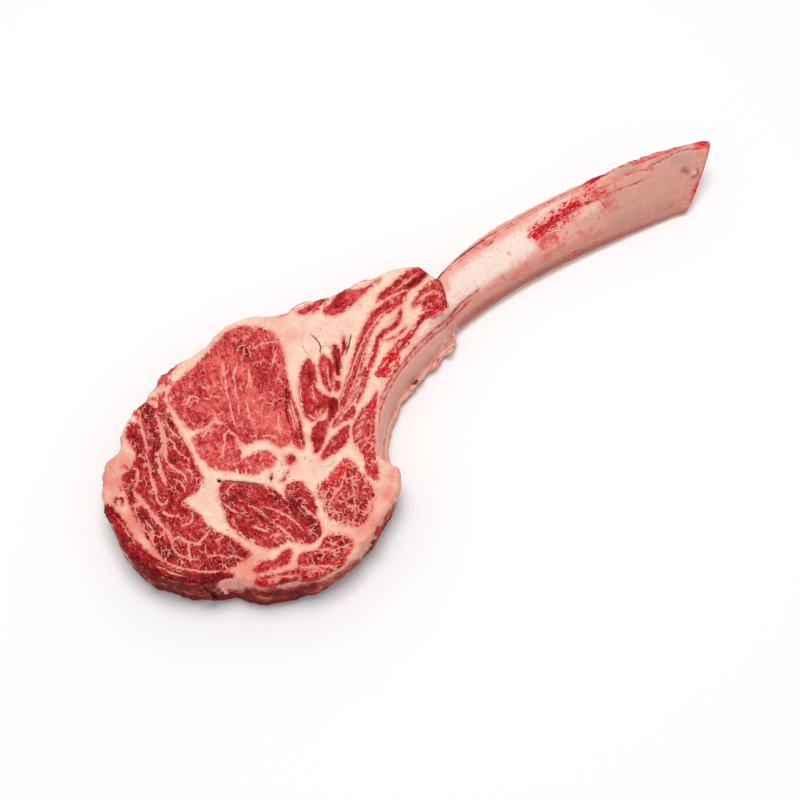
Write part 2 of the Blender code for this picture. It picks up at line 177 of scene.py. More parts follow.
# Muscles of the cut face: outline, tone (-1 very dark red, 1 light rosy), amount of marbling, and two
# points that give the way its fibres run
MUSCLES = {
    "eye": ([
        (-149, 55), (-143, 59.6), (-137, 61), (-124, 63.5), (-112, 67), (-102, 70.3), (-96, 71.3),
        (-90, 69.5), (-83, 65), (-77, 58), (-75.6, 50), (-79, 38), (-84, 28), (-87, 20), (-90, 11),
        (-93, 0), (-97, -10), (-101, -16), (-104.5, -13.5), (-106, -9), (-111, -9), (-114, -4),
        (-116.5, 1.5), (-121, 3.4), (-127, 4.4), (-129.5, 9), (-131, 4), (-134.5, -1), (-131, -2.6),
        (-126, -2.6), (-121, -4.8), (-118, -9), (-118.5, -13.4), (-123, -15.3), (-128, -14),
        (-133, -14), (-138, -9.5), (-144, -3.4), (-150, 2), (-153, 10), (-152, 21), (-149.5, 26),
        (-143, 26), (-142, 28.4), (-148.5, 31), (-150, 43),
    ], 0.82, 0.9, (-125, 0), (-105, 60)),
    "band": ([
        (-152, 60), (-152.5, 50), (-155, 38), (-156, 22), (-158, 11), (-160, -0.5), (-168, -3.5),
        (-175.5, -3.5), (-174, -11), (-172, -18), (-172.5, -24), (-169.5, -31), (-165.5, -38),
        (-162, -47), (-162, -53), (-174, -53.2), (-185, -51), (-194, -44.5), (-201, -35.5),
        (-203.4, -22), (-204, -5), (-202.4, 10), (-200, 20), (-197, 28), (-189, 31), (-182.6, 37),
        (-182, 48), (-176, 54.5), (-172, 52), (-168, 58), (-162, 61), (-158.5, 54), (-155, 57),
    ], 0.1, 1.0, (-188, -30), (-164, 55)),
    "rim": ([
        (-215.6, 20), (-211.8, 19), (-209.6, 10), (-210, 0), (-209.8, -10), (-208, -17.4), (-205.4, -25),
        (-201, -31.4), (-195, -39.6), (-188, -46), (-180.4, -51.6), (-175.6, -57), (-180, -60), (-190, -56),
        (-199, -50), (-206, -43), (-213, -33), (-217, -23), (-219.8, -8), (-220, 2), (-217.8, 12),
    ], -0.45, 0.2, (-205, -35), (-213, 10)),
    "cap": ([
        (-152, -7.5), (-156.5, -13), (-160, -24), (-161.5, -32), (-158.5, -43), (-153, -53),
        (-147, -58), (-139.5, -58), (-137.4, -60.5), (-131, -66), (-126, -67), (-121, -64.5),
        (-118.5, -60), (-118, -54), (-114, -50.5), (-113.4, -44), (-114, -33), (-120.5, -29.6),
        (-124, -31.5), (-126.4, -35.4), (-128.4, -31), (-131, -24.6), (-140, -16.2), (-147, -10),
    ], 0.05, 0.9, (-131, -60), (-141, -15)),
    "lattice": ([
        (-110, -43), (-103, -39.8), (-98, -41.2), (-90, -38), (-84, -37.4), (-82.2, -46),
        (-82.4, -58), (-85.5, -66), (-95, -72.8), (-101, -73.6), (-107, -69.5), (-111.6, -63),
        (-112.2, -56), (-110.2, -50),
    ], -0.05, 1.5, (-104, -66), (-90, -44)),
    "rib_strip": ([
        (-78.6, -56.5), (-79.6, -50), (-76, -42), (-75, -31), (-71, -23), (-63, -17.6), (-54, -14.8),
        (-47, -12.6), (-51.5, -18.4), (-57, -25.2), (-62, -31.8), (-66.5, -38.8), (-70.5, -46),
        (-75, -54.5),
    ], 0.35, 1.1, (-72, -40), (-55, -18)),
    "wedge_low": ([
        (-97, -28.3), (-88, -22.2), (-79, -20), (-72, -19.6), (-75, -24.6), (-79.5, -28), (-90, -29.4),
    ], 0.3, 0.6, (-95, -28), (-74, -20)),
    "wedge_high": ([
        (-96.8, -24), (-95.8, -18), (-93.6, -13), (-90, -9.4), (-85.5, -8), (-80.5, -9.6), (-82, -13.5),
        (-88, -18.8),
    ], 0.3, 0.4, (-96, -22), (-82, -10)),
    "finger_wide": ([
        (-67.4, 29.4), (-76, 24.6), (-83.5, 15), (-87.6, 7), (-89.4, -1), (-87.5, -5.6), (-80, -5.2),
        (-74.5, -3.4), (-71.5, 1), (-73.4, 6.5), (-74, 12), (-71.6, 14), (-68, 22),
    ], 0.5, 0.5, (-84, 0), (-69, 27)),
    "finger_middle": ([
        (-60.2, 25.6), (-64.4, 22.2), (-67.6, 16.4), (-69.8, 8), (-68.4, 3.4), (-62.4, 9.6),
        (-57.6, 17), (-57.6, 23),
    ], 0.5, 0.6, (-67, 6), (-59, 24)),
    "finger_thin": ([
        (-51.2, 27.6), (-48.4, 23.8), (-54, 14.6), (-58.6, 9.4), (-59.6, 12.4), (-54, 23),
    ], 0.0, 0.3, (-58, 11), (-50, 26)),
    "finger_low": (
        [(-67.4, 6.6), (-63, 8.6), (-60.4, 6), (-63.4, 2.6), (-67, 2.2)],
        0.3, 0.8, (-67, 2), (-61, 8)),
    "finger_root": (
        [(-73, 3), (-68, -3), (-72, -9), (-80, -12), (-79, -8), (-76, -4)],
        -0.2, 0.5, (-79, -10), (-69, -2)),
    "long_strip": ([
        (-72, -7.6), (-62, 0.4), (-50, 10), (-43, 16), (-38, 21), (-30, 26), (-24, 30), (-17, 32.8),
        (-5, 33), (3.6, 32.4), (6.6, 31.6), (2, 28), (-4, 26.6), (-9, 26.6), (-17, 26.2), (-25, 22.6),
        (-32, 17.4), (-40, 10.6), (-48, 3.8), (-56, -2.4), (-66, -8.6),
    ], 0.3, 0.7, (-60, -2), (-20, 28)),
    "low_strip": ([
        (-80, -15), (-70, -9.6), (-62, -6.6), (-53, -1.4), (-44, 5), (-41.6, 2.6), (-47, -2.6),
        (-55, -8.6), (-62, -12.6), (-66, -17), (-71, -16.6),
    ], 0.2, 0.8, (-76, -14), (-45, 3)),
    "third_strip": ([
        (-42, 4.4), (-34, 10.4), (-27, 16.6), (-21, 18.8), (-14, 18.4), (-8.6, 21.4), (-3.6, 24.8),
        (-4, 23), (-8, 18.6), (-14.6, 15.8), (-20.6, 16.2), (-26.4, 13.4), (-35, 6.6), (-41.4, 2.6),
    ], 0.3, 0.7, (-40, 5), (-8, 19)),
    "top_strip": ([
        (-13, 36), (-8, 39.4), (1, 40.8), (10, 42), (22, 41), (22.6, 36), (19, 34.4), (12, 35),
        (5, 33.8), (-3, 35.4),
    ], 0.2, 0.7, (-10, 37), (20, 38)),
    "top_strip_low": ([
        (7, 34.6), (14, 36), (22.6, 36.4), (23, 34), (16, 32), (9, 31.6), (6, 32.6),
    ], -0.2, 0.3, (7, 33), (22, 35)),
    "tip": ([
        (2.6, 21), (6, 24), (12, 27), (22, 28.6), (26.6, 28), (27.4, 25), (25.6, 19), (23.6, 11),
        (17.6, 9), (12, 9.4), (6, 10), (1, 12), (6, 15.4), (7.4, 19), (9, 21.4), (5, 20),
    ], 0.4, 1.2, (5, 15), (24, 22)),
    "blood_tail": ([
        (6, 13), (0, 11.4), (-6, 9), (-12, 7.4), (-17, 8), (-22, 5.4), (-28, 4), (-33, -0.6),
        (-39.6, -2.4), (-37, -5), (-31, -4.6), (-27, 0), (-22, 2.4), (-16, 2.6), (-10, 5), (-3, 7.4),
        (3, 9.6),
    ], 0.1, 0.4, (-36, -3), (0, 10)),
    "edge_strip_left": ([
        (-56.5, 57.8), (-47, 57.2), (-39, 57), (-36.5, 55), (-43, 52.4), (-51, 53.2),
    ], 0.25, 0.4, (-55, 56), (-38, 55)),
    "edge_strip_right": ([
        (-43.6, 49.6), (-36, 51.4), (-30, 53.6), (-24, 54.4), (-20, 50.2), (-13, 48.4), (-3, 47.4),
        (-14, 46), (-26, 43.6), (-38, 43),
    ], 0.35, 0.4, (-42, 47), (-8, 47)),
    "edge_sliver": ([
        (-66, 62), (-58, 64), (-48, 62), (-37, 59.5), (-35, 56.6), (-39, 56.8), (-48, 59.6), (-58, 61.6),
    ], 0.1, 0.3, (-64, 62), (-40, 58)),
    "lower_left": ([
        (-165.5, -61.5), (-158, -59.8), (-152, -63.2), (-145.5, -61.6), (-141.2, -62.4), (-143, -66.8),
        (-147.4, -69), (-155, -66.8), (-163, -64.6),
    ], 0.3, 0.4, (-163, -63), (-144, -65)),
    "lower_right": ([
        (-140.5, -70), (-134.5, -69), (-129.5, -71.8), (-121.5, -68.8), (-115, -70.4), (-110.4, -76.4),
        (-110.8, -80.8), (-117, -84.4), (-124, -87), (-132, -86.2), (-140.6, -84.4), (-146, -79),
        (-143.4, -75.6),
    ], 0.3, 1.1, (-138, -76), (-114, -77)),
    "lower_edge": ([
        (-168, -67), (-163, -67), (-156, -70.4), (-148, -73), (-143, -76), (-147, -79.6), (-155, -77.8),
        (-163, -73.6),
    ], 0.2, 0.9, (-165, -68), (-148, -77)),
    "islet": ([
        (-114, -18.6), (-112.6, -15.4), (-109.6, -15.6), (-108.4, -18.4), (-110.4, -20.8), (-113, -20.6),
    ], 0.6, 0.1, (-113, -18), (-109, -18)),
}

# Veins of fat: width in the middle, and points along the vein
VEINS = [
    (2.2, [(-160.5, 50), (-162, 43), (-164, 36), (-166.5, 31), (-169, 26), (-170.5, 21.5)]),
    (1.2, [(-170.5, 21.5), (-169.5, 16), (-167, 10), (-168, 4)]),
    (0.9, [(-164, 36), (-161.5, 30), (-162.5, 24), (-160.5, 18)]),
    (1.6, [(-168, 56), (-171, 51), (-172.5, 45), (-174.5, 39), (-177, 33)]),
    (1.8, [(-169, 31), (-173, 28.5), (-175, 23), (-177, 17), (-178.5, 10)]),
    (1.0, [(-178, 34), (-179.5, 28), (-182, 23), (-183.5, 17)]),
    (1.8, [(-183, 19), (-184.5, 13), (-186, 8)]),
    (1.0, [(-186, 8), (-187.5, 4), (-185.5, 0), (-182.5, 2)]),
    (1.2, [(-189.5, 30), (-187.5, 27), (-190, 22), (-194, 19)]),
    (2.6, [(-196, 17), (-195, 9), (-194.5, 2), (-194, -5), (-193, -12)]),
    (1.8, [(-193, -12), (-192.5, -17), (-194.5, -22)]),
    (2.0, [(-200, 9.5), (-197, 9), (-194.8, 7)]),
    (1.2, [(-188.5, -2), (-187, -6), (-184.5, -9)]),
    (1.3, [(-194.5, -22), (-190.5, -20), (-188, -23), (-186, -27), (-182, -30), (-176, -29), (-172, -27)]),
    (1.0, [(-186, -27), (-188.5, -30), (-190, -35)]),
    (1.0, [(-194.5, -22), (-195, -28), (-192, -34), (-188, -38)]),
    (1.0, [(-202, 3), (-203.5, -4), (-202, -10), (-203, -16)]),
    (0.9, [(-199.5, -2), (-199, -8), (-201, -13)]),
    (1.0, [(-206, -22), (-202, -31), (-195, -40), (-187, -47), (-180, -51)]),
    (0.7, [(-208, -28), (-205, -34), (-199, -42)]),
    (1.0, [(-172.5, 10), (-170.5, 5), (-171.5, 0)]),
    (0.9, [(-164, 12), (-162.5, 8), (-165, 4)]),
    (0.8, [(-175, -13), (-178, -17), (-183, -17)]),
    (0.8, [(-180, -40), (-175, -44), (-172, -48)]),
    (0.9, [(-172, -46), (-168, -50), (-166, -53)]),
    (0.8, [(-158, 46), (-158.5, 38), (-157, 30)]),
    (0.7, [(-212, 8), (-211.5, 0), (-211.5, -10)]),
    (1.8, [(-110.5, 55.5), (-113, 51.5), (-115, 46.5)]),
    (1.1, [(-115, 46.5), (-117.5, 41.5), (-119.5, 37.5), (-120.5, 33)]),
    (0.9, [(-120.5, 33), (-123, 27), (-125.5, 21), (-125.5, 17)]),
    (1.2, [(-104, 50.5), (-107.5, 47), (-110.5, 44.5), (-112, 40)]),
    (0.9, [(-112, 40), (-114.5, 36), (-116, 31)]),
    (0.9, [(-100.5, 43), (-103, 37.5), (-106, 31.5)]),
    (0.8, [(-108, 34), (-105, 36), (-102, 36.5)]),
    (1.0, [(-117.5, 28), (-120.5, 22.5)]),
    (1.1, [(-112.5, 28), (-115, 21), (-117, 16), (-114.5, 13)]),
    (1.4, [(-144.5, 47), (-141.5, 45.5), (-138.5, 48.5), (-136.5, 47), (-134.5, 44)]),
    (1.1, [(-132.5, 31), (-133, 27), (-131.5, 23)]),
    (2.2, [(-149.5, 28.5), (-145, 27), (-140, 26), (-135, 27), (-132.5, 24)]),
    (1.3, [(-130.5, 17.5), (-134, 16.5), (-137, 12.5), (-140, 9), (-143, 5)]),
    (1.4, [(-131, 17), (-129.5, 12), (-130.5, 7), (-131.5, 2)]),
    (0.8, [(-146, 22), (-142, 24), (-137, 22)]),
    (0.9, [(-100, 57), (-97, 58.5), (-93.5, 57.5)]),
    (0.8, [(-90.5, 63.5), (-92.5, 60)]),
    (1.0, [(-90, 52.5), (-86, 52.5), (-81, 50.5), (-76.5, 48.5)]),
    (0.8, [(-93.5, 53), (-95.5, 49)]),
    (0.8, [(-79.5, 45), (-84, 40.5), (-88.5, 36.5)]),
    (1.2, [(-107.5, -2), (-105, 4), (-102, 8.5)]),
    (0.8, [(-129, 49.5), (-127.5, 46)]),
    (0.8, [(-126.5, 40.5), (-124, 38)]),
    (0.8, [(-131.5, 42.5), (-130, 40.5)]),
    (1.0, [(-117, 3), (-113, 1), (-110, -3)]),
    (0.8, [(-90.5, 13), (-93.5, 5), (-96.5, -4)]),
    (0.8, [(-93.5, 10), (-96.5, 2), (-99, -5)]),
    (0.9, [(-133.5, -2), (-133, -7), (-134, -11)]),
    (1.2, [(-151, -40), (-148.5, -43.5), (-146, -47)]),
    (2.4, [(-144, -51), (-142, -53)]),
    (1.0, [(-140, -33), (-136.5, -38), (-133, -43), (-130.5, -50), (-129, -58)]),
    (1.8, [(-139.5, -47), (-138, -54), (-136.5, -60)]),
    (1.0, [(-121.5, -45), (-120, -52), (-118, -58)]),
    (0.8, [(-153, -17), (-151, -13), (-145, -12)]),
    (0.8, [(-157, -19), (-156, -24), (-153.5, -28)]),
    (1.0, [(-126, -30.5), (-127.5, -34.5)]),
    (0.8, [(-146, -28), (-143, -34), (-142, -40)]),
    (0.9, [(-111, -57), (-107, -52.5), (-99, -49.5), (-94, -46.5), (-90, -43)]),
    (0.7, [(-112, -55), (-108, -59), (-104.5, -62.5)]),
    (0.8, [(-101, -69), (-97.5, -64), (-94, -58), (-91, -52), (-89, -47)]),
    (0.8, [(-109.5, -46), (-105, -47), (-101, -44)]),
    (1.2, [(-143, -75), (-137, -79), (-131, -82.5), (-126, -86)]),
    (1.0, [(-128, -72), (-124, -76), (-118, -78.5), (-110, -80)]),
    (0.9, [(-131, -69.5), (-127, -73.5), (-122, -75)]),
    (1.0, [(-138, -81), (-133, -84.5)]),
    (1.0, [(-163, -70), (-158, -72.6), (-152, -75), (-147, -78)]),
    (0.8, [(-157, -69.6), (-154, -74)]),
    (1.6, [(-68.5, 17), (-71.5, 11), (-73, 5)]),
    (0.8, [(-88, -1), (-85, -6)]),
    (0.8, [(-82.5, -2), (-84, -6.5)]),
    (0.8, [(-80, -3), (-83, -7)]),
    (0.6, [(-75, 14), (-78, 8), (-79, 2)]),
    (0.9, [(-61, 18), (-65, 12), (-67, 6)]),
    (0.8, [(-63, 8), (-66, 4)]),
    (1.0, [(-69, -5.5), (-60, 1), (-50, 8.5), (-44, 13), (-36, 18.5), (-30, 22), (-22, 25.5), (-16, 27.5),
     (-8, 28)]),
    (0.9, [(-66, -8), (-57, -1.5), (-48, 5), (-41, 11), (-34, 16), (-28, 19.5), (-20, 22)]),
    (0.9, [(-74, -12), (-66, -9), (-57, -5), (-48, 1)]),
    (1.0, [(-79, -16), (-70, -12.5), (-61, -9.5), (-53, -5)]),
    (0.9, [(0, 36), (10, 37), (17, 38)]),
    (2.0, [(2.5, 18), (4.5, 14.5)]),
    (1.4, [(8, 22.5), (14, 23), (20, 22)]),
    (0.8, [(-76, -33), (-71, -31.5)]),
    (0.8, [(-75, -37), (-70, -34.5)]),
    (0.8, [(-73, -41), (-68.5, -38.5)]),
    (0.8, [(-73, -28), (-67, -26.5)]),
    (0.8, [(-70, -24), (-63, -23)]),
    (0.8, [(-66, -21), (-60, -20)]),
]

# Thin lean threads that cross the fat: width and points
THREADS = [
    (2.2, [(-42.4, 28.6), (-44.6, 25), (-47, 21.9), (-49.9, 19.7)]),
    (1.0, [(-22, 12), (-15, 11), (-8, 12.5)]),
    (1.2, [(-170, 58), (-165, 61.5)]),
    (2.6, [(-170, 57), (-167, 60)]),
    (2.2, [(-158, 60.5), (-155, 58.5)]),
    (3.4, [(-149, 65), (-143, 67.5), (-137, 70), (-132, 72)]),
    (2.4, [(-146, 65), (-143.5, 61.5)]),
    (2.0, [(-152, 57), (-149.5, 60)]),
    (1.2, [(-193.6, 34), (-191.6, 33), (-192, 30.6)]),
    (1.8, [(-196, 29), (-192, 27)]),
    (1.6, [(-50, -14.6), (-46, -12)]),
    (2.0, [(-104, -14.4), (-101.6, -16)]),
    (1.0, [(-160, -73), (-154, -76)]),
    (1.7, [(-208, 15.6), (-207.8, 18), (-206, 19), (-204.2, 18), (-204, 15.8), (-205.4, 14.4)]),
    (1.9, [(-122.5, -26), (-119.6, -25.4), (-116.5, -23.5)]),
    (1.3, [(-127.8, -22.4), (-125.2, -19.6)]),
    (1.4, [(-201.6, 22), (-199.4, 24)]),
]

# Open slits and hairlines: width, depth, points
SLITS = [
    (2.2, 3.4, [(-152.6, -4.2), (-151.6, -6)]),
    (0.9, 1.5, [(-152, -5), (-146, -10), (-139, -16), (-132, -22.4)]),
    (0.8, 0.9, [(-88, 22), (-92, 16), (-96, 10), (-98.5, 4), (-100, 0)]),
    (0.6, 0.5, [(-90, 8), (-93, 2), (-96, -6), (-99, -12)]),
    (1.0, 1.0, [(-127.5, -22), (-125.5, -20)]),
    (0.7, 0.7, [(-104.6, -22.6), (-103.6, -21)]),
    (0.95, 0.6, [(-58.1, 42.2), (-56.8, 37.8), (-57.1, 31.6), (-59, 29.3), (-59.8, 26.2)]),
    (0.55, 0.4, [(-57.6, 30.9), (-54, 29.8), (-52.8, 26)]),
    (0.6, 0.4, [(-65.2, 39.5), (-66.4, 34.9), (-65.8, 30.8)]),
    (0.5, 0.5, [(-199.5, 39.5), (-198.8, 32)]),
    (0.6, 0.4, [(-202, 24), (-201, 25.5)]),
    (0.5, 0.4, [(-158, -59), (-161, -58.2)]),
    (0.4, 0.3, [(-100, -31.5), (-95, -34), (-90, -33.5)]),
    (1.0, 0.7, [(-48.2, 18), (-42.4, 22.9), (-37.4, 27.9)]),
    (0.9, 0.7, [(-47, 21.9), (-43.4, 26.6)]),
    (1.2, 0.8, [(-58.8, 10.7), (-57.1, 14.3), (-54.6, 18.4)]),
    (0.5, 0.4, [(-117.4, -19), (-116.8, -16)]),
    (0.5, 0.4, [(-163, -42), (-165, -38), (-168.6, -34)]),
    (1.2, 1.2, [(-36, -4.4), (-31, -3.8)]),
    (1.0, 0.9, [(-23.6, 0.2), (-20, -0.6)]),
    (0.8, 0.7, [(-97, 61), (-94, 60.5)]),
    (0.9, 0.6, [(-132.6, -74), (-129.6, -76)]),
    (0.8, 0.5, [(-164.6, -32.4), (-163.8, -33.4)]),
]

# Darker and lighter streaks in the lean: width, change of tone, points
STREAKS = [
    (4.4, -0.8, [(-160, 60), (-166, 48), (-169, 38), (-174, 28), (-179, 20)]),
    (7.0, -0.75, [(-201, 4), (-200, -20), (-197, -28)]),
    (3.0, -0.6, [(-197, 19), (-198, 11)]),
    (3.0, -0.35, [(-176, 50), (-180, 40), (-181, 30)]),
    (3.0, -0.3, [(-157, 44), (-158, 25), (-160, 8)]),
    (13.0, -0.4, [(-192, -38), (-180, -45), (-168, -48)]),
    (3.0, -0.6, [(-145, -20), (-145, -32), (-144, -45)]),
    (6.0, -1.1, [(-124.5, -40), (-123.5, -50), (-121.5, -61)]),
    (4.0, -0.7, [(-131, -30), (-129, -37), (-128, -44)]),
    (5.0, -1.3, [(-97, 60), (-96.5, 49)]),
    (4.0, -0.8, [(-101, 52), (-96, 47)]),
    (10.0, 0.3, [(-122, 40), (-112, 20), (-106, 2)]),
    (7.0, -0.35, [(-94, 40), (-100, 20)]),
    (3.0, -0.4, [(-100, 56), (-94, 56)]),
    (4.0, -0.8, [(-87, 24), (-92, 12), (-96, 0), (-100, -12)]),
    (6.0, -0.3, [(-148, 42), (-143, 37), (-139, 32)]),
    (6.0, -0.25, [(-90, 46), (-88, 36), (-92, 26)]),
    (4.0, -0.5, [(-72, 25), (-74, 15)]),
    (3.4, -0.5, [(-78, 0), (-82, -1)]),
    (3.0, -0.3, [(-60, -3), (-45, 6), (-35, 16)]),
    (2.4, -0.4, [(-70, -12), (-58, -7)]),
    (2.4, -0.6, [(8, 34), (20, 35)]),
    (4.0, -0.25, [(10, 18), (22, 17)]),
    (6.0, -0.35, [(-103, -58), (-100, -68), (-96, -60)]),
    (4.0, 0.7, [(-95, -41), (-84, -39)]),
    (3.0, -0.5, [(-131, -76), (-129, -74)]),
    (6.0, -0.3, [(-118, -74), (-114, -76)]),
    (6.0, 0.15, [(-110, 30), (-100, 50)]),
    (9.0, -0.9, [(-209, 17), (-204, 16)]),
    (7.0, -0.8, [(-126, -23), (-118, -24.4)]),
]

# Fresh blood: width, strength, points
BLOOD = [
    (3.4, 0.5, [(-215.6, 19), (-214, 12), (-213.4, 6)]),
    (4.4, 0.8, [(-39, -3), (-34, -2.4), (-29, 0.4), (-24, 3.4), (-17, 4.6)]),
    (1.8, 0.7, [(-12, 6.6), (-8, 7.6)]),
    (3.2, 0.8, [(9, 11), (14, 10), (17, 10.6)]),
    (2.0, 0.4, [(24, 28), (26.6, 25), (25, 20)]),
    (3.2, 0.7, [(-55, -18), (-51, -16)]),
    (2.6, 0.5, [(-78, -55), (-77, -50)]),
    (3.2, 0.35, [(-139, -83.6), (-133, -84)]),
    (3.2, 0.4, [(-118, -83), (-112, -82)]),
    (3.2, 0.4, [(-167.5, -68), (-163, -69), (-160, -73)]),
    (3.0, 0.5, [(-144, 66), (-142.6, 62)]),
    (6.0, 0.72, [(-101, -43), (-95, -40.6), (-87, -38.6)]),
    (2.4, 0.4, [(14, 39.6), (22, 39.6)]),
]

# Where the fat is pinker: middle, reach, amount; what is left is cream
BLUSH = [
    (-205, 30, 22, 0.75), (-207, 0, 12, 1.0), (-203, -22, 12, 0.9), (-170, -58, 16, 0.8),
    (-150, -78, 16, 0.7),
    (-95, -78, 22, 0.75), (-68, -60, 14, 0.55), (-188, 40, 14, 0.45), (-120, 74, 30, 0.2), (-150, 66, 8, 0.5),
    (-62, 4, 12, 0.35), (-112, -18, 8, 0.3), (-160, 52, 10, 0.35), (-10, 18, 16, 0.35), (-20, -4, 14, 0.45),
    (18, 44, 8, 0.35), (-84, 62, 8, 0.3), (-70, 54, 14, 0.4), (-196, 38, 14, 0.8), (-78, -68, 10, 0.75),
]

# Lean that shows on the front wall, drawn on the plane of the cut face: width, points
WALL_LEAN = [
    (5.0, [(-219, -22), (-216, -34), (-209, -44)]),
    (7.0, [(-206, -47), (-199, -55), (-194, -59)]),
    (6.0, [(-196, -62), (-191, -57)]),
    (7.0, [(-177, -72), (-170, -77), (-162, -82)]),
    (7.0, [(-160, -84), (-152, -87), (-144, -90)]),
    (3.4, [(-140, -92), (-128, -93.4), (-116, -93)]),
    (3.6, [(-97, -84), (-93.5, -84.6)]),
    (2.4, [(-86, -77.4), (-84.4, -76)]),
]

# Tints of the bone, drawn on the plane through its upper edge: width, amount, points
BONE_TINTS = {
    "cream": [
        (15, 1.0, [(38, 18.6), (52, 19.5), (70, 20), (86, 20.6)]),
        (9, 0.8, [(28, 15), (36, 18)]),
        (8, 0.6, [(30, 12.4), (60, 14), (86, 15)]),
        (8, 0.5, [(92, 26), (108, 29), (126, 28)]),
        (8, 0.45, [(126, 17), (140, 14.5)]),
        (6, 0.4, [(100, 16.4), (114, 16)]),
        (7, 0.42, [(0, 8), (12, 10), (26, 12)]),
        (5, 0.3, [(-50, -14), (-30, -2), (-12, 4), (0, 7)]),
        # Painted highlight on the top of the knob at the far end
        (2.6, 0.45, [(203.2, -1.4), (204.4, -1.8)]),
    ],
    "rose": [
        (5, 0.5, [(56, 33), (66, 33), (76, 33)]),
        (4, 0.4, [(80, 33.5), (96, 33.5), (112, 32.5), (134, 29)]),
        (4, 0.35, [(32, 31), (44, 32)]),
        (5, 0.5, [(31, 7), (40, 9), (46, 10)]),
        (6, 0.5, [(52, 8), (62, 9)]),
        (6, 0.55, [(69, 4.6), (79, 6)]),
        (6, 0.5, [(91, 5), (100, 6), (112, 8)]),
        (9, 0.5, [(120, 4), (130, 0)]),
        (7, 0.85, [(96, 11.5), (104, 11)]),
        (15, 0.55, [(96, 20), (112, 21.6), (128, 22)]),
        (12, 0.6, [(134, 23), (144, 21), (152, 18)]),
        (6, 0.5, [(150, 24), (166, 22), (180, 20), (196, 18.6)]),
        (4, 0.7, [(174, 25), (188, 21.6), (204, 18)]),
        (9, 0.6, [(142, 11), (148, 9)]),
        (6, 0.95, [(216, 12), (221, 10.4)]),
        (2.4, 0.8, [(222.5, 9), (218, 3), (212, -3), (203, -10), (194, -17)]),
        (8, 0.5, [(182, -13), (192, -16)]),
        (14, 0.35, [(190, -8), (208, -2), (216, 4)]),
        (5, 0.4, [(-64, -36), (-48, -18), (-28, -7), (0, 1.4), (30, 7)]),
    ],
    "tan": [
        (14, 0.7, [(60, -1), (90, -2), (120, -5), (150, -9)]),
        (34, 0.85, [(150, 2), (176, -1), (208, -6)]),
        (16, 0.5, [(128, 6), (150, 4)]),
        (8, 0.3, [(14, 5), (60, 4), (100, 3)]),
        (12, 0.3, [(-56, -32), (-30, -15), (-10, -8), (14, -3)]),
    ],
    # Painted shade: darker along the lower edge, which turns away from the light, in the hollow beside the
    # knob and under it at the far end, and along the sawn end
    "painted_shade": [
        (8, 0.9, [(24, -4), (40, -1.6), (66, -2.6), (90, -4), (120, -8), (150, -14), (180, -21), (200, -26)]),
        (14, 0.35, [(20, -2), (60, 0), (100, -1), (140, -7), (180, -15)]),
        (8, 0.2, [(-60, -40), (-40, -23), (-20, -16), (6, -10)]),
        (3.4, 0.85, [(198.6, 3), (200, 1)]),
        (2, 0.8, [(201.6, -4), (205.2, -4.4), (206.6, -1.4)]),
        (2.6, 0.9, [(223, 11.5), (219.5, 5), (214.5, -1), (206.5, -7), (199.5, -12.5), (193, -17.6)]),
    ],
    "grey": [
        (1.6, 0.6, [(73.6, 19.4), (74.4, 18.6)]),
        (6, 0.55, [(163, 25), (173, 23.6)]),
        (7, 0.5, [(197, 12), (205, 10)]),
        (6, 0.3, [(184, 18), (192, 17.4)]),
    ],
    "blood": [
        (5, 1.0, [(95, 20.2), (102, 21), (110, 21.6)]),
        (5, 0.9, [(108, 22), (117, 21.4), (123, 22.6), (128, 22.4)]),
        (10, 0.45, [(96, 21), (126, 22)]),
        (3, 0.6, [(134.6, 20), (136.6, 19)]),
        (4, 0.55, [(137, 25), (143, 28), (148, 29.6)]),
        (5, 0.4, [(138, 21), (146, 19)]),
        (3, 0.5, [(218, 11), (221, 9)]),
        (3, 0.4, [(107, -4), (110, -4)]),
        (3, 0.4, [(196, -14), (204, -9)]),
    ],
}

# Tints of the bone's hidden side, in cloudy patches: least, amount, size and seed of the noise
BACK_TINTS = [
    ("cream", 0.35, 0.5, 24.0, 45), ("rose", 0.1, 0.4, 16.0, 46), ("tan", 0.3, 0.5, 30.0, 47),
]

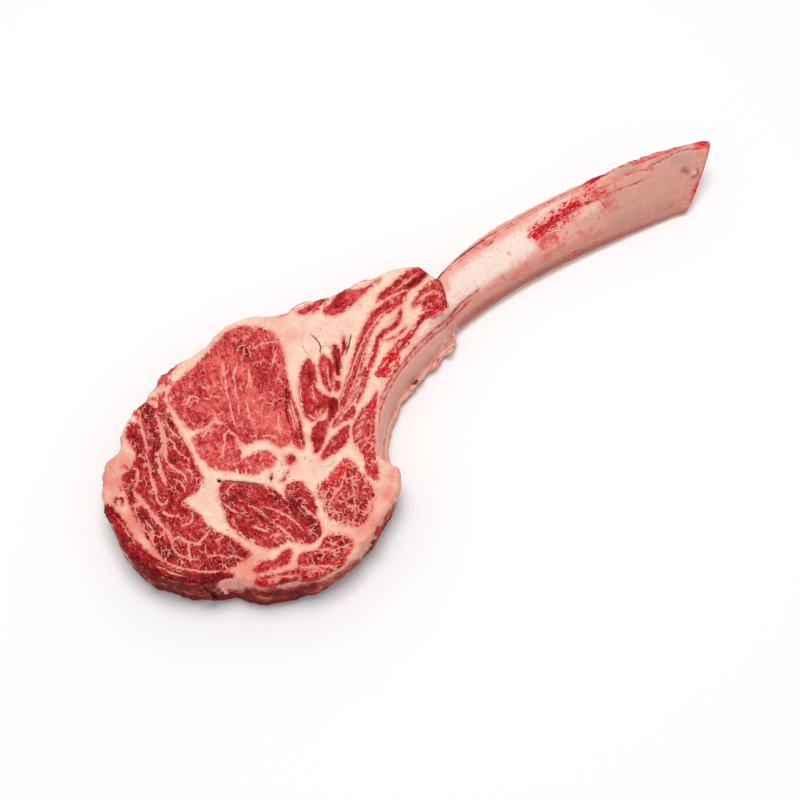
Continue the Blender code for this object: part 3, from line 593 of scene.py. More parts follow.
# Red lines, membranes and grooves of the bone: width, depth, points
BONE_LINES = [
    (0.8, 0.2, [(28, 31.4), (40, 33.4), (50, 34), (60, 35), (80, 35.6), (100, 34.9), (120, 33.3),
    (140, 30.4), (160, 28)]),
    (0.5, 0.2, [(36, 30.6), (48, 31.8), (62, 33), (84, 33.4), (104, 32.6), (124, 30.8), (142, 27.6)]),
    (1.3, 0.3, [(138, 30.4), (144, 30), (150, 29.4)]),
    (0.7, 0.15, [(22, 4), (30, 6), (46, 10)]),
    (1.5, 0.35, [(97, 20), (104, 20.6), (114, 20.2), (128, 19.5), (140, 18.5)]),
    (1.0, 0.3, [(99, 22.6), (104, 20.6), (108, 22.6)]),
    (1.0, 0.3, [(113, 20.5), (119, 20), (124, 22.4), (127, 21)]),
    (0.7, 0.2, [(97, 15), (105, 14.5), (110, 14)]),
    (0.8, 0.3, [(142, 23), (145, 19.5), (150, 17), (158, 15.5), (165, 13.8), (172, 12.5), (178, 11.5)]),
    (1.2, 0.35, [(142, 17), (143, 13), (143, 10)]),
    (0.6, 0.15, [(138, 24), (146, 23.4), (154, 21.6)]),
    (0.6, 0.2, [(148, 17.4), (149.6, 14.6)]),
    (0.8, 0.25, [(165, 21), (172, 19.5), (178, 17), (182, 15), (180, 13)]),
    (0.9, 0.35, [(173, 24.5), (186, 21.5), (200, 18.5), (208, 17)]),
    (0.9, 0.35, [(180, 17.6), (190, 16.5), (200, 16), (207, 14), (212, 11), (219, 7.5)]),
    (0.8, 0.3, [(212, 17.4), (218, 15), (222, 12)]),
    (1.2, 0.25, [(64, 30.4), (70, 31.6), (73.6, 33.6)]),
    (1.5, 0.6, [(46, 10.4), (31.6, 8.8), (21.6, 5.8), (11.6, 3.8), (1.6, 2.3), (-8.4, 0.3), (-18.4, -2.7),
    (-28.4, -5.7), (-38.4, -10.7), (-48.4, -16.7), (-58.4, -26.7), (-64.4, -35.7), (-67, -43)]),
    (1.2, 0.4, [(36, 6.6), (21.6, 3.3), (11.6, 1.3), (1.6, -0.2), (-8.4, -2.2), (-18.4, -4.7),
    (-28.4, -8.2), (-38.4, -13.2), (-48.4, -19.7), (-58, -30)]),
]

# Knobs and hollows of the bone: X, Y, reach and height
BONE_KNOBS = [
    (199.5, 2.0, 2.8, -1.3), (203.5, -1.5, 1.9, 1.5), (203.0, -5.0, 1.8, -0.6), (74, 19, 1.4, -0.15),
    (104, 24, 3.0, 0.4), (122, 24.4, 3.0, 0.4), (109, 18.2, 2.2, 0.3), (137, 21.6, 2.4, 0.4),
    (146, 21.4, 3.2, 0.4),
    (219, 11.4, 2.6, 0.5), (187, 19.2, 5.0, 0.4), (210, 15.0, 4.0, 0.4),
]

# Shares of blood, of dark lean and of fat in each tint of a scrap
SCRAP_TINTS = {
    "blood": (1, 0, 0), "clot": (1, 0.45, 0), "rose": (0.4, 0, 0.5), "lean": (0.1, 1, 0), "fat": (0, 0, 1),
    "skin": (0, 0.3, 0.9),
}

# Scraps of the meat: tint, half width, half thickness, points with their heights
MEAT_SCRAPS = [
    ("blood", 2.3, 1.3, [(-41, -4.2, 35.6), (-36, -5, 36), (-31, -3.2, 36.2), (-26, -0.2, 36.3),
     (-21, 2, 36.2)]),
    ("rose", 1.9, 1.5, [(-37, -7, 35.4), (-32, -6, 36), (-27, -3.4, 36.2), (-22, -0.6, 36)]),
    ("fat", 1.0, 1.2, [(-33, -4.4, 36.8), (-29.6, -3.4, 37), (-26.4, -1.8, 36.8)]),
    ("fat", 0.9, 1.0, [(-36, -1.6, 36.6), (-32.6, 0, 36.8), (-30, 0.4, 36.6)]),
    ("rose", 1.0, 1.0, [(-24, 1.6, 36.6), (-20, 4.6, 36.8), (-16, 5.4, 36.6)]),
    ("fat", 0.6, 0.7, [(-10, 7.6, 36.6), (-6, 8.8, 36.8), (-2, 9.6, 36.6)]),
    ("blood", 1.3, 0.9, [(-38.6, -1.6, 36.2), (-34, 0.4, 36.4), (-30, 2.8, 36.5)]),
    ("blood", 1.3, 1.0, [(-22, 4, 36.2), (-15, 5.4, 36.4), (-8, 7.4, 36.4), (-2, 9.6, 36.3)]),
    ("rose", 0.8, 0.8, [(-20, 2, 36.2), (-15.6, 3, 36.2), (-12, 3.4, 36)]),
    ("blood", 0.9, 0.7, [(3, 10.6, 36.4), (9, 11, 36.6), (15, 10.4, 36.4), (20, 10.8, 36)]),
    ("rose", 1.1, 0.8, [(8, 9.6, 36), (13, 9.2, 36), (18, 9.4, 35.6)]),
    ("blood", 1.6, 1.1, [(-56, -20, 35.6), (-53, -17.6, 36), (-49, -14.8, 36)]),
    ("lean", 2.8, 1.1, [(-193, -51, 33), (-192, -53.6, 24), (-190.6, -54.6, 14), (-190, -54, 5)]),
    ("lean", 1.6, 0.8, [(-188.6, -52.6, 34), (-187.6, -55.4, 27), (-188, -56, 19)]),
    ("skin", 1.6, 0.7, [(-184, -55.6, 33), (-183, -57.6, 24), (-182.6, -57.6, 12), (-183, -56.6, 4)]),
    ("lean", 1.2, 0.8, [(-186, -54.6, 12), (-184.6, -56.6, 6), (-183, -57.6, 2.4)]),
    ("clot", 1.9, 1.5, [(-96, -82.4, 30.6), (-93.4, -81.6, 31.4), (-91.2, -80.2, 31)]),
    ("clot", 1.3, 1.0, [(-86.4, -77.2, 31), (-83.6, -76, 31.4)]),
    ("lean", 1.3, 1.0, [(-100, -84, 27), (-97, -83.6, 26)]),
    ("skin", 1.3, 0.8, [(-76, -72, 32), (-73.4, -70.6, 31)]),
    ("lean", 1.1, 0.8, [(-213.4, 20.6, 34), (-215.2, 15, 34), (-215.6, 9, 33.6)]),
    ("lean", 1.5, 1.0, [(-217.6, -14, 33), (-216, -19, 33), (-214, -25, 32.6)]),
    ("lean", 1.4, 0.9, [(-210.6, -33, 33), (-207, -38, 33), (-202.6, -43, 32.6)]),
    ("clot", 1.0, 0.7, [(-200, -45.6, 34), (-195, -49.6, 33.8)]),
    ("clot", 1.2, 0.9, [(-168, -69.2, 34.4), (-163, -72.8, 34.6), (-158, -75.6, 34.4)]),
    ("clot", 1.1, 0.8, [(-147, -81.2, 34.4), (-140, -84.6, 34.4), (-134, -86, 34.2)]),
    ("rose", 0.8, 0.6, [(-173.6, 56.8, 34), (-170, 59, 34.6), (-166, 60.2, 34)]),
    ("blood", 1.0, 0.8, [(-158.6, 62.4, 33.6), (-154, 64.4, 33.4)]),
    ("rose", 0.8, 0.6, [(-150, 67, 33), (-145, 69.4, 33.6), (-140, 70.6, 33)]),
    ("skin", 0.9, 0.6, [(-207, 33.2, 32), (-204.6, 37, 32.6)]),
    ("skin", 0.5, 0.35, [(-20, 54, 34), (-14, 53.6, 34.8), (-8, 52.2, 34)]),
    ("skin", 0.5, 0.35, [(-60, 62.4, 34.4), (-52, 62, 35), (-44, 60, 34.4)]),
    ("skin", 1.3, 0.9, [(-24, -13.4, 9), (-18, -11.6, 10), (-12, -10.6, 9.4)]),
    ("lean", 0.7, 0.6, [(-20, -12, 10.4), (-16, -11, 10.6)]),
    ("skin", 1.1, 0.8, [(-6, -8.6, 9), (-1, -8.2, 9.4), (5, -6.2, 9)]),
    ("lean", 0.6, 0.5, [(0, -8, 10), (4, -6.4, 9.8)]),
    ("skin", 1.5, 0.9, [(8, -6, 8), (13, -5.4, 9), (17.6, -3.4, 9)]),
    ("skin", 1.2, 0.9, [(17, -3, 9.6), (19.4, 0, 10), (20, 4, 10)]),
    ("skin", 1.0, 0.7, [(-45, -25.2, 7.6), (-39, -20.6, 8), (-33, -17.2, 7.6)]),
]

# Membrane on the rib, along its upper edge: tint, half width, half thickness, and points as (x, turn round
# the section in degrees from its upper edge towards the camera)
BONE_STRANDS = [
    ("skin", 0.9, 0.35, [(30, 12), (60, 8), (90, 14), (120, 10), (140, 16)]),
    ("blood", 0.7, 0.35, [(138, 6), (144, 10), (151, 4)]),
    ("rose", 1.1, 0.4, [(150, 16), (166, 10), (182, 18), (196, 10), (207, 14)]),
    ("skin", 0.8, 0.35, [(158, 24), (174, 20), (190, 26), (204, 22)]),
    ("rose", 1.3, 0.5, [(186, 34), (194, 30), (202, 34), (208, 28)]),
    ("blood", 1.0, 0.5, [(200, 8), (205, 14), (208.6, 10)]),
    ("rose", 0.9, 0.35, [(136, 30), (143, 36), (150, 40), (160, 42)]),
    ("blood", 0.8, 0.35, [(130, 34), (137, 30), (142, 38)]),
    ("rose", 0.8, 0.3, [(128, 52), (136, 58), (142, 66)]),
    ("skin", 0.7, 0.3, [(140, 44), (150, 50), (160, 52), (170, 56)]),
    ("lean", 0.6, 0.35, [(24, -4), (30, 4), (36, 2)]),
    ("lean", 0.3, 0.2, [(32, -6), (46, -2), (60, -6), (76, 0)]),
    ("clot", 0.35, 0.25, [(134, -6), (142, 0), (152, -4)]),
]

# Step along a strand and corners round it
STRAND_STEP = 0.55
STRAND_SIDES = 14


def srgb(red, green, blue):
    """Linear colour of three screen values from 0 to 255."""
    shares = np.array([red, green, blue], float) / 255
    linear = np.where(shares > 0.04045, ((shares + 0.055) / 1.055) ** 2.4, shares / 12.92)
    return tuple(float(value) for value in linear)


def walked(line):
    """Distance walked along a line of points, up to each of them."""
    return np.concatenate([[0.0], np.cumsum(np.linalg.norm(np.diff(line, axis=0), axis=1))])


def unit(vectors):
    """The vectors at length 1."""
    return vectors / np.maximum(np.linalg.norm(vectors, axis=-1, keepdims=True), 1e-9)


def smooth_line(points, step, closed=False):
    """Curve through the points: on each stretch a cubic with its neighbours' slopes, read every step."""
    knots = np.array(points, float)
    if closed:
        knots = np.vstack([knots[-1:], knots, knots[:2]])
    else:
        knots = np.vstack([2 * knots[0] - knots[1], knots, 2 * knots[-1] - knots[-2]])
    before, here, after, beyond = knots[:-3, None], knots[1:-2, None], knots[2:-1, None], knots[3:, None]
    share = np.linspace(0.0, 1.0, READINGS, endpoint=False)[None, :, None]
    dense = 0.5 * (2 * here + (after - before) * share
                   + (2 * before - 5 * here + 4 * after - beyond) * share**2
                   + (3 * here - before - 3 * after + beyond) * share**3)
    dense = np.vstack([dense.reshape(-1, knots.shape[1]), knots[-2]])
    reach = walked(dense)
    marks = np.linspace(0.0, reach[-1], max(3, round(reach[-1] / step) + 1))
    return np.column_stack([np.interp(marks, reach, dense[:, axis]) for axis in range(dense.shape[1])])


def hermite(marks, knots, values, slopes):
    """Smooth curve through values at knots, with the given slopes, read at the marks."""
    k = np.clip(np.searchsorted(knots, marks, side="right") - 1, 0, len(knots) - 2)
    span = knots[k + 1] - knots[k]
    t = (marks - knots[k]) / span
    return ((2 * t**3 - 3 * t**2 + 1) * values[k] + (t**3 - 2 * t**2 + t) * span * slopes[k]
            + (3 * t**2 - 2 * t**3) * values[k + 1] + (t**3 - t**2) * span * slopes[k + 1])


def smooth_step(values, low, high):
    """Rises from 0 at low to 1 at high along a cubic, three times the square less twice the cube."""
    share = np.clip((values - low) / (high - low), 0.0, 1.0)
    return share * share * (3 - 2 * share)


def soft_noise(points, size, seed):
    """Smooth heights between -1 and 1: seeded values on a lattice of that size, blended in between."""
    axes = points.shape[1]
    table = np.random.default_rng(seed).uniform(-1, 1, (NOISE_CELLS,) * axes)
    cells = points / size
    base = np.floor(cells).astype(int)
    share = cells - base
    share = share * share * (3 - 2 * share)
    total = np.zeros(len(points))
    for corner in itertools.product((0, 1), repeat=axes):
        weight = np.prod(np.where(corner, share, 1 - share), axis=1)
        total += weight * table[tuple(((base + corner) % NOISE_CELLS).T)]
    return total


def lumps(points, *layers):
    """Sum of soft noises, each given by its amount, size and seed."""
    return sum(amount * soft_noise(points, size, seed) for amount, size, seed in layers)


def near_line(x, y, line):
    """Distance to a line of points, the same with a sign for its side, and the share walked along it."""
    start = line[:-1]
    step = line[1:] - start
    length = np.maximum((step**2).sum(axis=1), 1e-9)
    away_x, away_y = x[:, None] - start[:, 0], y[:, None] - start[:, 1]
    share = np.clip((away_x * step[:, 0] + away_y * step[:, 1]) / length, 0.0, 1.0)
    square = (away_x - share * step[:, 0]) ** 2 + (away_y - share * step[:, 1]) ** 2
    nearest = square.argmin(axis=1)
    rows = np.arange(len(x))
    distance = np.sqrt(square[rows, nearest])
    turn = step[nearest, 0] * away_y[rows, nearest] - step[nearest, 1] * away_x[rows, nearest]
    return distance, np.where(turn < 0, -distance, distance), (nearest + share[rows, nearest]) / len(start)


def within(x, y, line, reach):
    """Numbers of the points that lie in the line's box, widened by the reach."""
    low, high = line.min(axis=0) - reach, line.max(axis=0) + reach
    return np.flatnonzero((x > low[0]) & (x < high[0]) & (y > low[1]) & (y < high[1]))


def inside(x, y, loop):
    """True where a ray along +X crosses the closed loop an odd number of times."""
    start, end = loop[:-1], loop[1:]
    crosses = (start[:, 1] > y[:, None]) != (end[:, 1] > y[:, None])
    rise = np.where(end[:, 1] == start[:, 1], 1e-9, end[:, 1] - start[:, 1])
    at = start[:, 0] + (y[:, None] - start[:, 1]) * (end[:, 0] - start[:, 0]) / rise
    return (crosses & (x[:, None] < at)).sum(axis=1) % 2 == 1


def loop_distance(x, y, loop, reach):
    """Distance to a closed loop, negative inside it, and far outside the reach a plain large number."""
    found = np.full(len(x), FAR_AWAY)
    near = within(x, y, loop, reach)
    for part in np.array_split(near, max(1, len(near) * len(loop) // PAIRS_AT_ONCE)):
        distance = near_line(x[part], y[part], loop)[0]
        found[part] = np.where(inside(x[part], y[part], loop), -distance, distance)
    return found


def nearest_marks(x, y, marks, reach=3.0):
    """For each point the side, distance and half width of the nearest thin mark, which tapers at its ends."""
    found = np.tile(NO_MARK, (len(x), 1))
    for width, *_, points in marks:
        line = smooth_line(points, 1.0)
        near = within(x, y, line, reach)
        if not len(near):
            continue
        distance, side, share = near_line(x[near], y[near], line)
        half = width / 2 * np.clip(0.35 + np.minimum(share, 1 - share) * 4, 0.35, 1.0)
        better = distance - half < found[near, 1] - found[near, 2]
        found[near[better]] = np.column_stack([side, distance, half])[better]
    return found


def soft_marks(x, y, marks, pick=np.maximum):
    """Soft stains: each has its amount along its line, fades out past its width, and the strongest holds."""
    found = np.zeros(len(x))
    for width, amount, points in marks:
        line = smooth_line(points, 2.0)
        near = within(x, y, line, width)
        if len(near):
            distance = near_line(x[near], y[near], line)[0]
            found[near] = pick(found[near], amount * smooth_step(-distance, -width * 0.9, -width * 0.2))
    return found


def seen_on(points, plane):
    """X and Y of the place on a level plane where the camera sees each point."""
    return (points[:, :2] - np.outer(plane - points[:, 2], SLANT)).T


def muscle_fields(x, y):
    """Distance into the fat (negative in the lean), tone, marbling, and place along and across the fibres."""
    edge = np.full(len(x), 9.0)
    rows = np.zeros((len(x), 4))
    rows[:, 2:] = np.column_stack([x, y])
    for outline, tone, marbling, start, end in MUSCLES.values():
        distance = loop_distance(x, y, smooth_line(outline, 1.5, closed=True), 6.0)
        better = distance < edge
        along = np.subtract(end, start) / math.dist(start, end)
        s, t = x * along[0] + y * along[1], y * along[0] - x * along[1]
        edge[better] = distance[better]
        rows[better] = np.column_stack([np.full(len(x), tone), np.full(len(x), marbling), s, t])[better]
    for width, points in THREADS:
        line = smooth_line(points, 1.0)
        near = within(x, y, line, 4.0)
        distance, _, share = near_line(x[near], y[near], line)
        edge[near] = np.minimum(edge[near], distance - width / 2 * (0.4 + 0.6 * np.sin(math.pi * share)))
    rows[:, 0] += soft_marks(x, y, [mark for mark in STREAKS if mark[1] < 0], np.minimum)
    rows[:, 0] += soft_marks(x, y, [mark for mark in STREAKS if mark[1] > 0])
    return edge, rows


def blush_field(x, y):
    """How pink the fat is: the largest of round patches that fade by the square of the distance."""
    found = np.full(len(x), 0.08)
    for middle_x, middle_y, reach, amount in BLUSH:
        square = ((x - middle_x) ** 2 + (y - middle_y) ** 2) / reach**2
        found = np.maximum(found, amount * np.exp(-square))
    return found


def loop_outward(loop, reach):
    """Outward directions of a closed loop, averaged over a number of its points each way."""
    open_loop = loop[:-1]
    along = sum(np.roll(open_loop, -k, axis=0) - np.roll(open_loop, k, axis=0) for k in range(1, reach + 1))
    return unit(along)[:, ::-1] * [-1, 1]


def ragged_loop(points, step, seed):
    """Closed curve through the points, pushed out and in along its normals by two sizes of soft noise."""
    loop = smooth_line(points, step, closed=True)
    push = lumps(loop[:-1], (0.5, 4.6, seed), (0.35, 2.1, seed + 1))
    push *= np.where(loop[:-1, 0] > CALM_PAST, 0.5, 1.0)
    moved = loop[:-1] + loop_outward(loop, 1) * push[:, None]
    return np.vstack([moved, moved[:1]])


def kept_cells(loop, spacing):
    """Which cells of a grid over the loop have all their corners inside its inset line."""
    low, high = loop.min(axis=0) - spacing, loop.max(axis=0) + spacing
    x, y = np.meshgrid(*(np.arange(low[axis], high[axis], spacing) for axis in (0, 1)), indexing="ij")
    deep = loop_distance(x.ravel(), y.ravel(), loop, 9.0).reshape(x.shape) < -RIM_INSET
    return deep[:-1, :-1] & deep[1:, :-1] & deep[:-1, 1:] & deep[1:, 1:]


def corner_masks(cells):
    """Which grid corners touch a kept cell, and which have kept cells all round them."""
    wide = np.pad(cells, 1)
    around = np.stack([wide[:-1, :-1], wide[1:, :-1], wide[:-1, 1:], wide[1:, 1:]])
    return around.any(axis=0), around.all(axis=0)


def boundary_pairs(kept, numbers):
    """Edges of the kept cells that border on none, each with the kept cell on its left."""
    wide = np.pad(kept, 1)
    low_side, high_side = wide[1:-1, :-1], wide[1:-1, 1:]
    near_side, far_side = wide[:-1, 1:-1], wide[1:, 1:-1]
    forward, back = numbers[1:, :], numbers[:-1, :]
    upper, lower = numbers[:, 1:], numbers[:, :-1]
    sides = [(back, forward, high_side & ~low_side), (forward, back, low_side & ~high_side),
             (upper, lower, far_side & ~near_side), (lower, upper, near_side & ~far_side)]
    return np.concatenate([np.column_stack([start[edge], end[edge]]) for start, end, edge in sides])


def grid_quads(numbers, cells):
    """The kept cells as quads that face upwards."""
    return np.stack([numbers[:-1, :-1], numbers[1:, :-1], numbers[1:, 1:], numbers[:-1, 1:]], -1)[cells]


def spread_along(places, following, loop):
    """Foot of each rim corner on the loop and its outward direction, with the corners spread evenly.

    Each corner starts at the loop's nearest point, and its walk along the loop then moves towards the middle
    of its two neighbours' again and again. The directions are the loop's own, averaged over some millimetres.
    """
    reach = walked(loop)
    at = np.zeros(len(places))
    for part in np.array_split(np.arange(len(places)), 8):
        at[part] = reach[((places[part, None] - loop[:-1]) ** 2).sum(axis=-1).argmin(axis=1)]
    before = np.empty_like(following)
    before[following] = np.arange(len(following))
    round_trip = reach[-1]
    half = round_trip / 2
    for _ in range(SPREAD_ROUNDS):
        pull = (at[following] - at + half) % round_trip + (at[before] - at + half) % round_trip - round_trip
        at = (at + 0.4 * pull) % round_trip
    outward = loop_outward(loop, 5)
    outward = np.vstack([outward, outward[:1]])
    feet, outward = (np.column_stack([np.interp(at, reach, rows[:, axis]) for axis in (0, 1)])
                     for rows in (loop, outward))
    return feet, unit(outward)


def relax(x, y, free, rounds):
    """Free grid corners move to the middle of their four neighbours, again and again."""
    inner = free[1:-1, 1:-1]
    for _ in range(rounds):
        for grid in (x, y):
            middle = (grid[:-2, 1:-1] + grid[2:, 1:-1] + grid[1:-1, :-2] + grid[1:-1, 2:]) / 4
            grid[1:-1, 1:-1][inner] = middle[inner]


def grown(mask, steps):
    """The mask widened by a number of grid steps in all directions."""
    for _ in range(steps):
        wide = np.pad(mask, 1)
        mask = wide[:-2, 1:-1] | wide[2:, 1:-1] | wide[1:-1, :-2] | wide[1:-1, 2:] | mask
    return mask


def placed(points_mm):
    """Drawing millimetres to metres round the origin."""
    return (np.asarray(points_mm, float) - np.array([CENTRE[0], CENTRE[1], 0.0])) * MM


def add_piece(name, slot, material, points_mm, faces, maps):
    """Mesh object from points and faces, with its material and maps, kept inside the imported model's box."""
    low, high = (np.array(corner) for corner in CAD_BOX)
    mesh = bpy.data.meshes.new(name)
    mesh.from_pydata(np.clip(placed(points_mm), low, high).tolist(), [], faces)
    mesh.shade_smooth()
    mesh.materials.append(material)
    for label, values in maps.items():
        attribute = mesh.attributes.new(label, "FLOAT_VECTOR", "POINT")
        attribute.data.foreach_set("vector", np.asarray(values, np.float32).ravel())
    piece = bpy.data.objects.new(name, mesh)
    bpy.context.scene.collection.objects.link(piece)
    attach(piece, "root")
    return piece


def face_height(x, y, edge, veins, rise):
    """Height of the cut face: the fat's level, a bulge over each muscle, low lumps, and grooves.

    The grooves run along the veins and the slits. The fat at the lower right and the blood are lumpier.
    """
    flat = np.column_stack([x, y])
    lean = smooth_step(-edge, -0.5, 1.4)
    right = smooth_step(x - y, -50.0, -10.0) * smooth_step(-y, 20.0, 60.0)
    height = FAT_TOP + rise * lean + lumps(flat, (0.4, 17.0, 1), (0.3, 6.0, 2))
    fatty = 0.16 * soft_noise(flat, 2.8, 8) + right * lumps(flat, (0.7, 5.4, 6), (0.35, 2.3, 62))
    height += (1 - lean) * fatty
    height += lean * lumps(flat, (0.1, 2.6, 3), (0.07, 1.4, 4))
    height -= 0.22 * lean * np.exp(-((veins[:, 1] / 0.9) ** 2))
    height += soft_marks(x, y, BLOOD) * lumps(flat, (0.8, 3.4, 9), (0.4, 1.8, 10))
    for width, depth, points in SLITS:
        line = smooth_line(points, 1.0)
        near = within(x, y, line, 3.0)
        distance, _, share = near_line(x[near], y[near], line)
        half = max(width / 2, 0.45) * (0.5 + 0.5 * np.sin(math.pi * share))
        height[near] -= depth * smooth_step(-distance, -half * 1.6, 0.0)
    return height


def flesh_height(x, y, loop):
    """Height of the flesh under the rib: a low step that slopes up from the outline, with soft lumps."""
    depth = -loop_distance(x, y, loop, 12.0)
    rise = FLESH_SLOPE * np.clip(depth - RIM_INSET, 0.0, 5.0)
    return FLESH_TOP + rise + 0.35 * soft_noise(np.column_stack([x, y]), 9.0, 7)


def wall_points(feet, outward, top, seed):
    """Levels of the side wall: each vertex steps out and in with the profile, the flares and soft lumps."""
    tall = smooth_step(top, FLESH_TOP + 3, FAT_TOP - 6)[:, None]
    shares, offsets = ((1 - tall) * low + tall * high for low, high in zip(np.transpose(LOW_PROFILE),
                                                                          np.transpose(WALL_PROFILE)))
    for x, y, reach, amount in WALL_FLARES:
        away = np.hypot(feet[:, 0] - x, feet[:, 1] - y)[:, None]
        offsets = offsets + amount * (1 - shares) * np.exp(-((away / reach) ** 2)) * tall
    heights = shares * top[:, None]
    places = feet[:, None] + outward[:, None] * offsets[..., None]
    points = np.concatenate([places, heights[..., None]], axis=-1)
    flat = points.reshape(-1, 3)
    push = lumps(flat, (0.7, 9.0, seed), (0.5, 4.0, seed + 1), (0.22, 1.9, seed + 2)).reshape(heights.shape)
    push *= np.clip((1 - shares) * 14, 0.0, 1.0) * np.clip(shares * 10, 0.3, 1.0)
    points[..., :2] += outward[:, None] * (push - 0.2)[..., None]
    return points


def wall_edge(points, share, rim):
    """Lean distance on the wall: lean low down, higher up in front, at the left and right, and where drawn.
    The rise at the left is painted shade.

    Near the top it turns into the cut face's own distance at the rim.
    """
    flat = points.reshape(-1, 3)
    x, y = flat[:, 0], flat[:, 1]
    front = smooth_step(-y, 10.0, 45.0)
    # Painted shade: the left wall is darker, with its dark lean reaching higher
    left = smooth_step(-x, 162.0, 206.0) * smooth_step(-y, -15.0, 30.0)
    right = smooth_step(x, -112.0, -90.0) * smooth_step(-y, 50.0, 70.0)
    level = 0.34 + 0.06 * front + 0.3 * left + 0.3 * right
    edge = (share.ravel() - level) * 15 + 2.5 * soft_noise(flat, 15.0, 21)
    seen_x, seen_y = seen_on(flat, FACE_PLANE)
    for width, drawn in WALL_LEAN:
        line = smooth_line(drawn, 2.0)
        near = within(seen_x, seen_y, line, width)
        distance = near_line(seen_x[near], seen_y[near], line)[0]
        edge[near] = np.minimum(edge[near], distance - width / 2)
    soft = 0.14 * smooth_step(-x.reshape(share.shape), 180.0, 200.0)
    near_rim = smooth_step(share, 0.88 - soft, 0.97 - 0.5 * soft)
    return edge.reshape(share.shape) * (1 - near_rim) + rim[:, None] * near_rim


def zone_maps(edge, rows, side, veins, slits, stains):
    """Vector maps of one zone of the meat, as the material reads them."""
    columns = {"lean_map": (edge, rows[:, 0], rows[:, 1]), "fibre_map": (rows[:, 2], rows[:, 3], side),
               "stain_map": stains}
    maps = {name: np.column_stack([np.broadcast_to(values, len(rows)) for values in three])
            for name, three in columns.items()}
    return {**maps, "vein_map": veins, "slit_map": slits}


def settled(x, y, cells, rim, places, rows, rounds):
    """Puts a grid's rim corners in their places and relaxes the rows next to them: the corners in use."""
    x.ravel()[rim], y.ravel()[rim] = places.T
    touched, whole = corner_masks(cells)
    relax(x, y, grown(touched & ~whole, rows) & whole, rounds)
    used = np.flatnonzero(touched)
    return used, x.ravel()[used], y.ravel()[used]


def top_zone(x, y, loop, rise):
    """Corners of the cut face and of the flesh beyond it, what the wall takes over, and their maps."""
    edge, rows = muscle_fields(x, y)
    veins, slits = nearest_marks(x, y, VEINS), nearest_marks(x, y, SLITS)
    blush, blood = blush_field(x, y), soft_marks(x, y, BLOOD)
    face = smooth_line(FACE_OUTLINE, 1.0, closed=True)
    beyond = smooth_step(loop_distance(x, y, face, 12.0), -0.4, 1.8)
    height = face_height(x, y, edge, veins, rise) * (1 - beyond) + flesh_height(x, y, loop) * beyond
    maps = zone_maps(np.where(beyond > 0.5, 3.0, edge), rows, beyond, veins, slits, (blush, blood, 1.0))
    return np.column_stack([x, y, height]), (height, edge, rows, veins, slits, blush, blood), maps


def wall_zone(feet, outward, height, edge, rows, veins, slits, blush, blood):
    """The side wall's levels, its corners between rim and foot, and their maps. Marks end near the rim."""
    wall = wall_points(feet, outward, height, 11)
    shares = wall[..., 2] / height[:, None]
    lean = wall_edge(wall, shares, edge)[:, 1:-1].T.ravel()
    middle = wall[:, 1:-1].transpose(1, 0, 2).reshape(-1, 3)
    share = shares[:, 1:-1].T.ravel()
    again = np.tile(np.arange(len(feet)), wall.shape[1] - 2)
    roll = 0.06 * (soft_noise(middle, 6.0, 23) - smooth_step(-middle[:, 0], 180.0, 200.0))
    side = smooth_step(1 - share + roll, 0.02, 0.14)
    marks = (np.where((side < 0.5)[:, None], values[again], NO_MARK) for values in (veins, slits))
    darker = rows[again] * [1, 0.6, 1, 1] - [0.3, 0, 0, 0]
    stains = (blush[again], blood[again] * (1 - side), share)
    return wall, middle, zone_maps(lean, darker, side, *marks, stains)


def under_zone(x, y, on_rim):
    """Corners of the underside, flat but for low hollows in its fat, and their maps."""
    edge, rows = muscle_fields(x, y)
    patches = smooth_step(soft_noise(np.column_stack([x, y]), 9.0, 5), -0.4, 0.5)
    hollow = UNDER_HOLLOW * smooth_step(edge, -0.5, 1.0) * patches
    maps = zone_maps(np.where(on_rim, -3.0, edge), rows, on_rim, nearest_marks(x, y, VEINS),
                     np.tile(NO_MARK, (len(x), 1)), (blush_field(x, y), 0.0, ~on_rim))
    return np.column_stack([x, y, np.where(on_rim, 0.0, hollow)]), maps


def wall_faces(ladder, first, second, following, foot):
    """Quads between the levels of the wall, and the triangles from its last level to the underside.

    Every second rim corner has a foot there, so each two rim edges take three triangles.
    """
    steps = [np.column_stack([high[second], high[first], low[first], low[second]])
             for high, low in zip(ladder, ladder[1:])]
    last = ladder[-1]
    starts = foot[first] >= 0
    a, m = first[starts], second[starts]
    b = following[m]
    corners = ((last[m], last[a], foot[a]), (last[m], foot[a], foot[b]), (last[b], last[m], foot[b]))
    return steps + [np.column_stack(three) for three in corners]


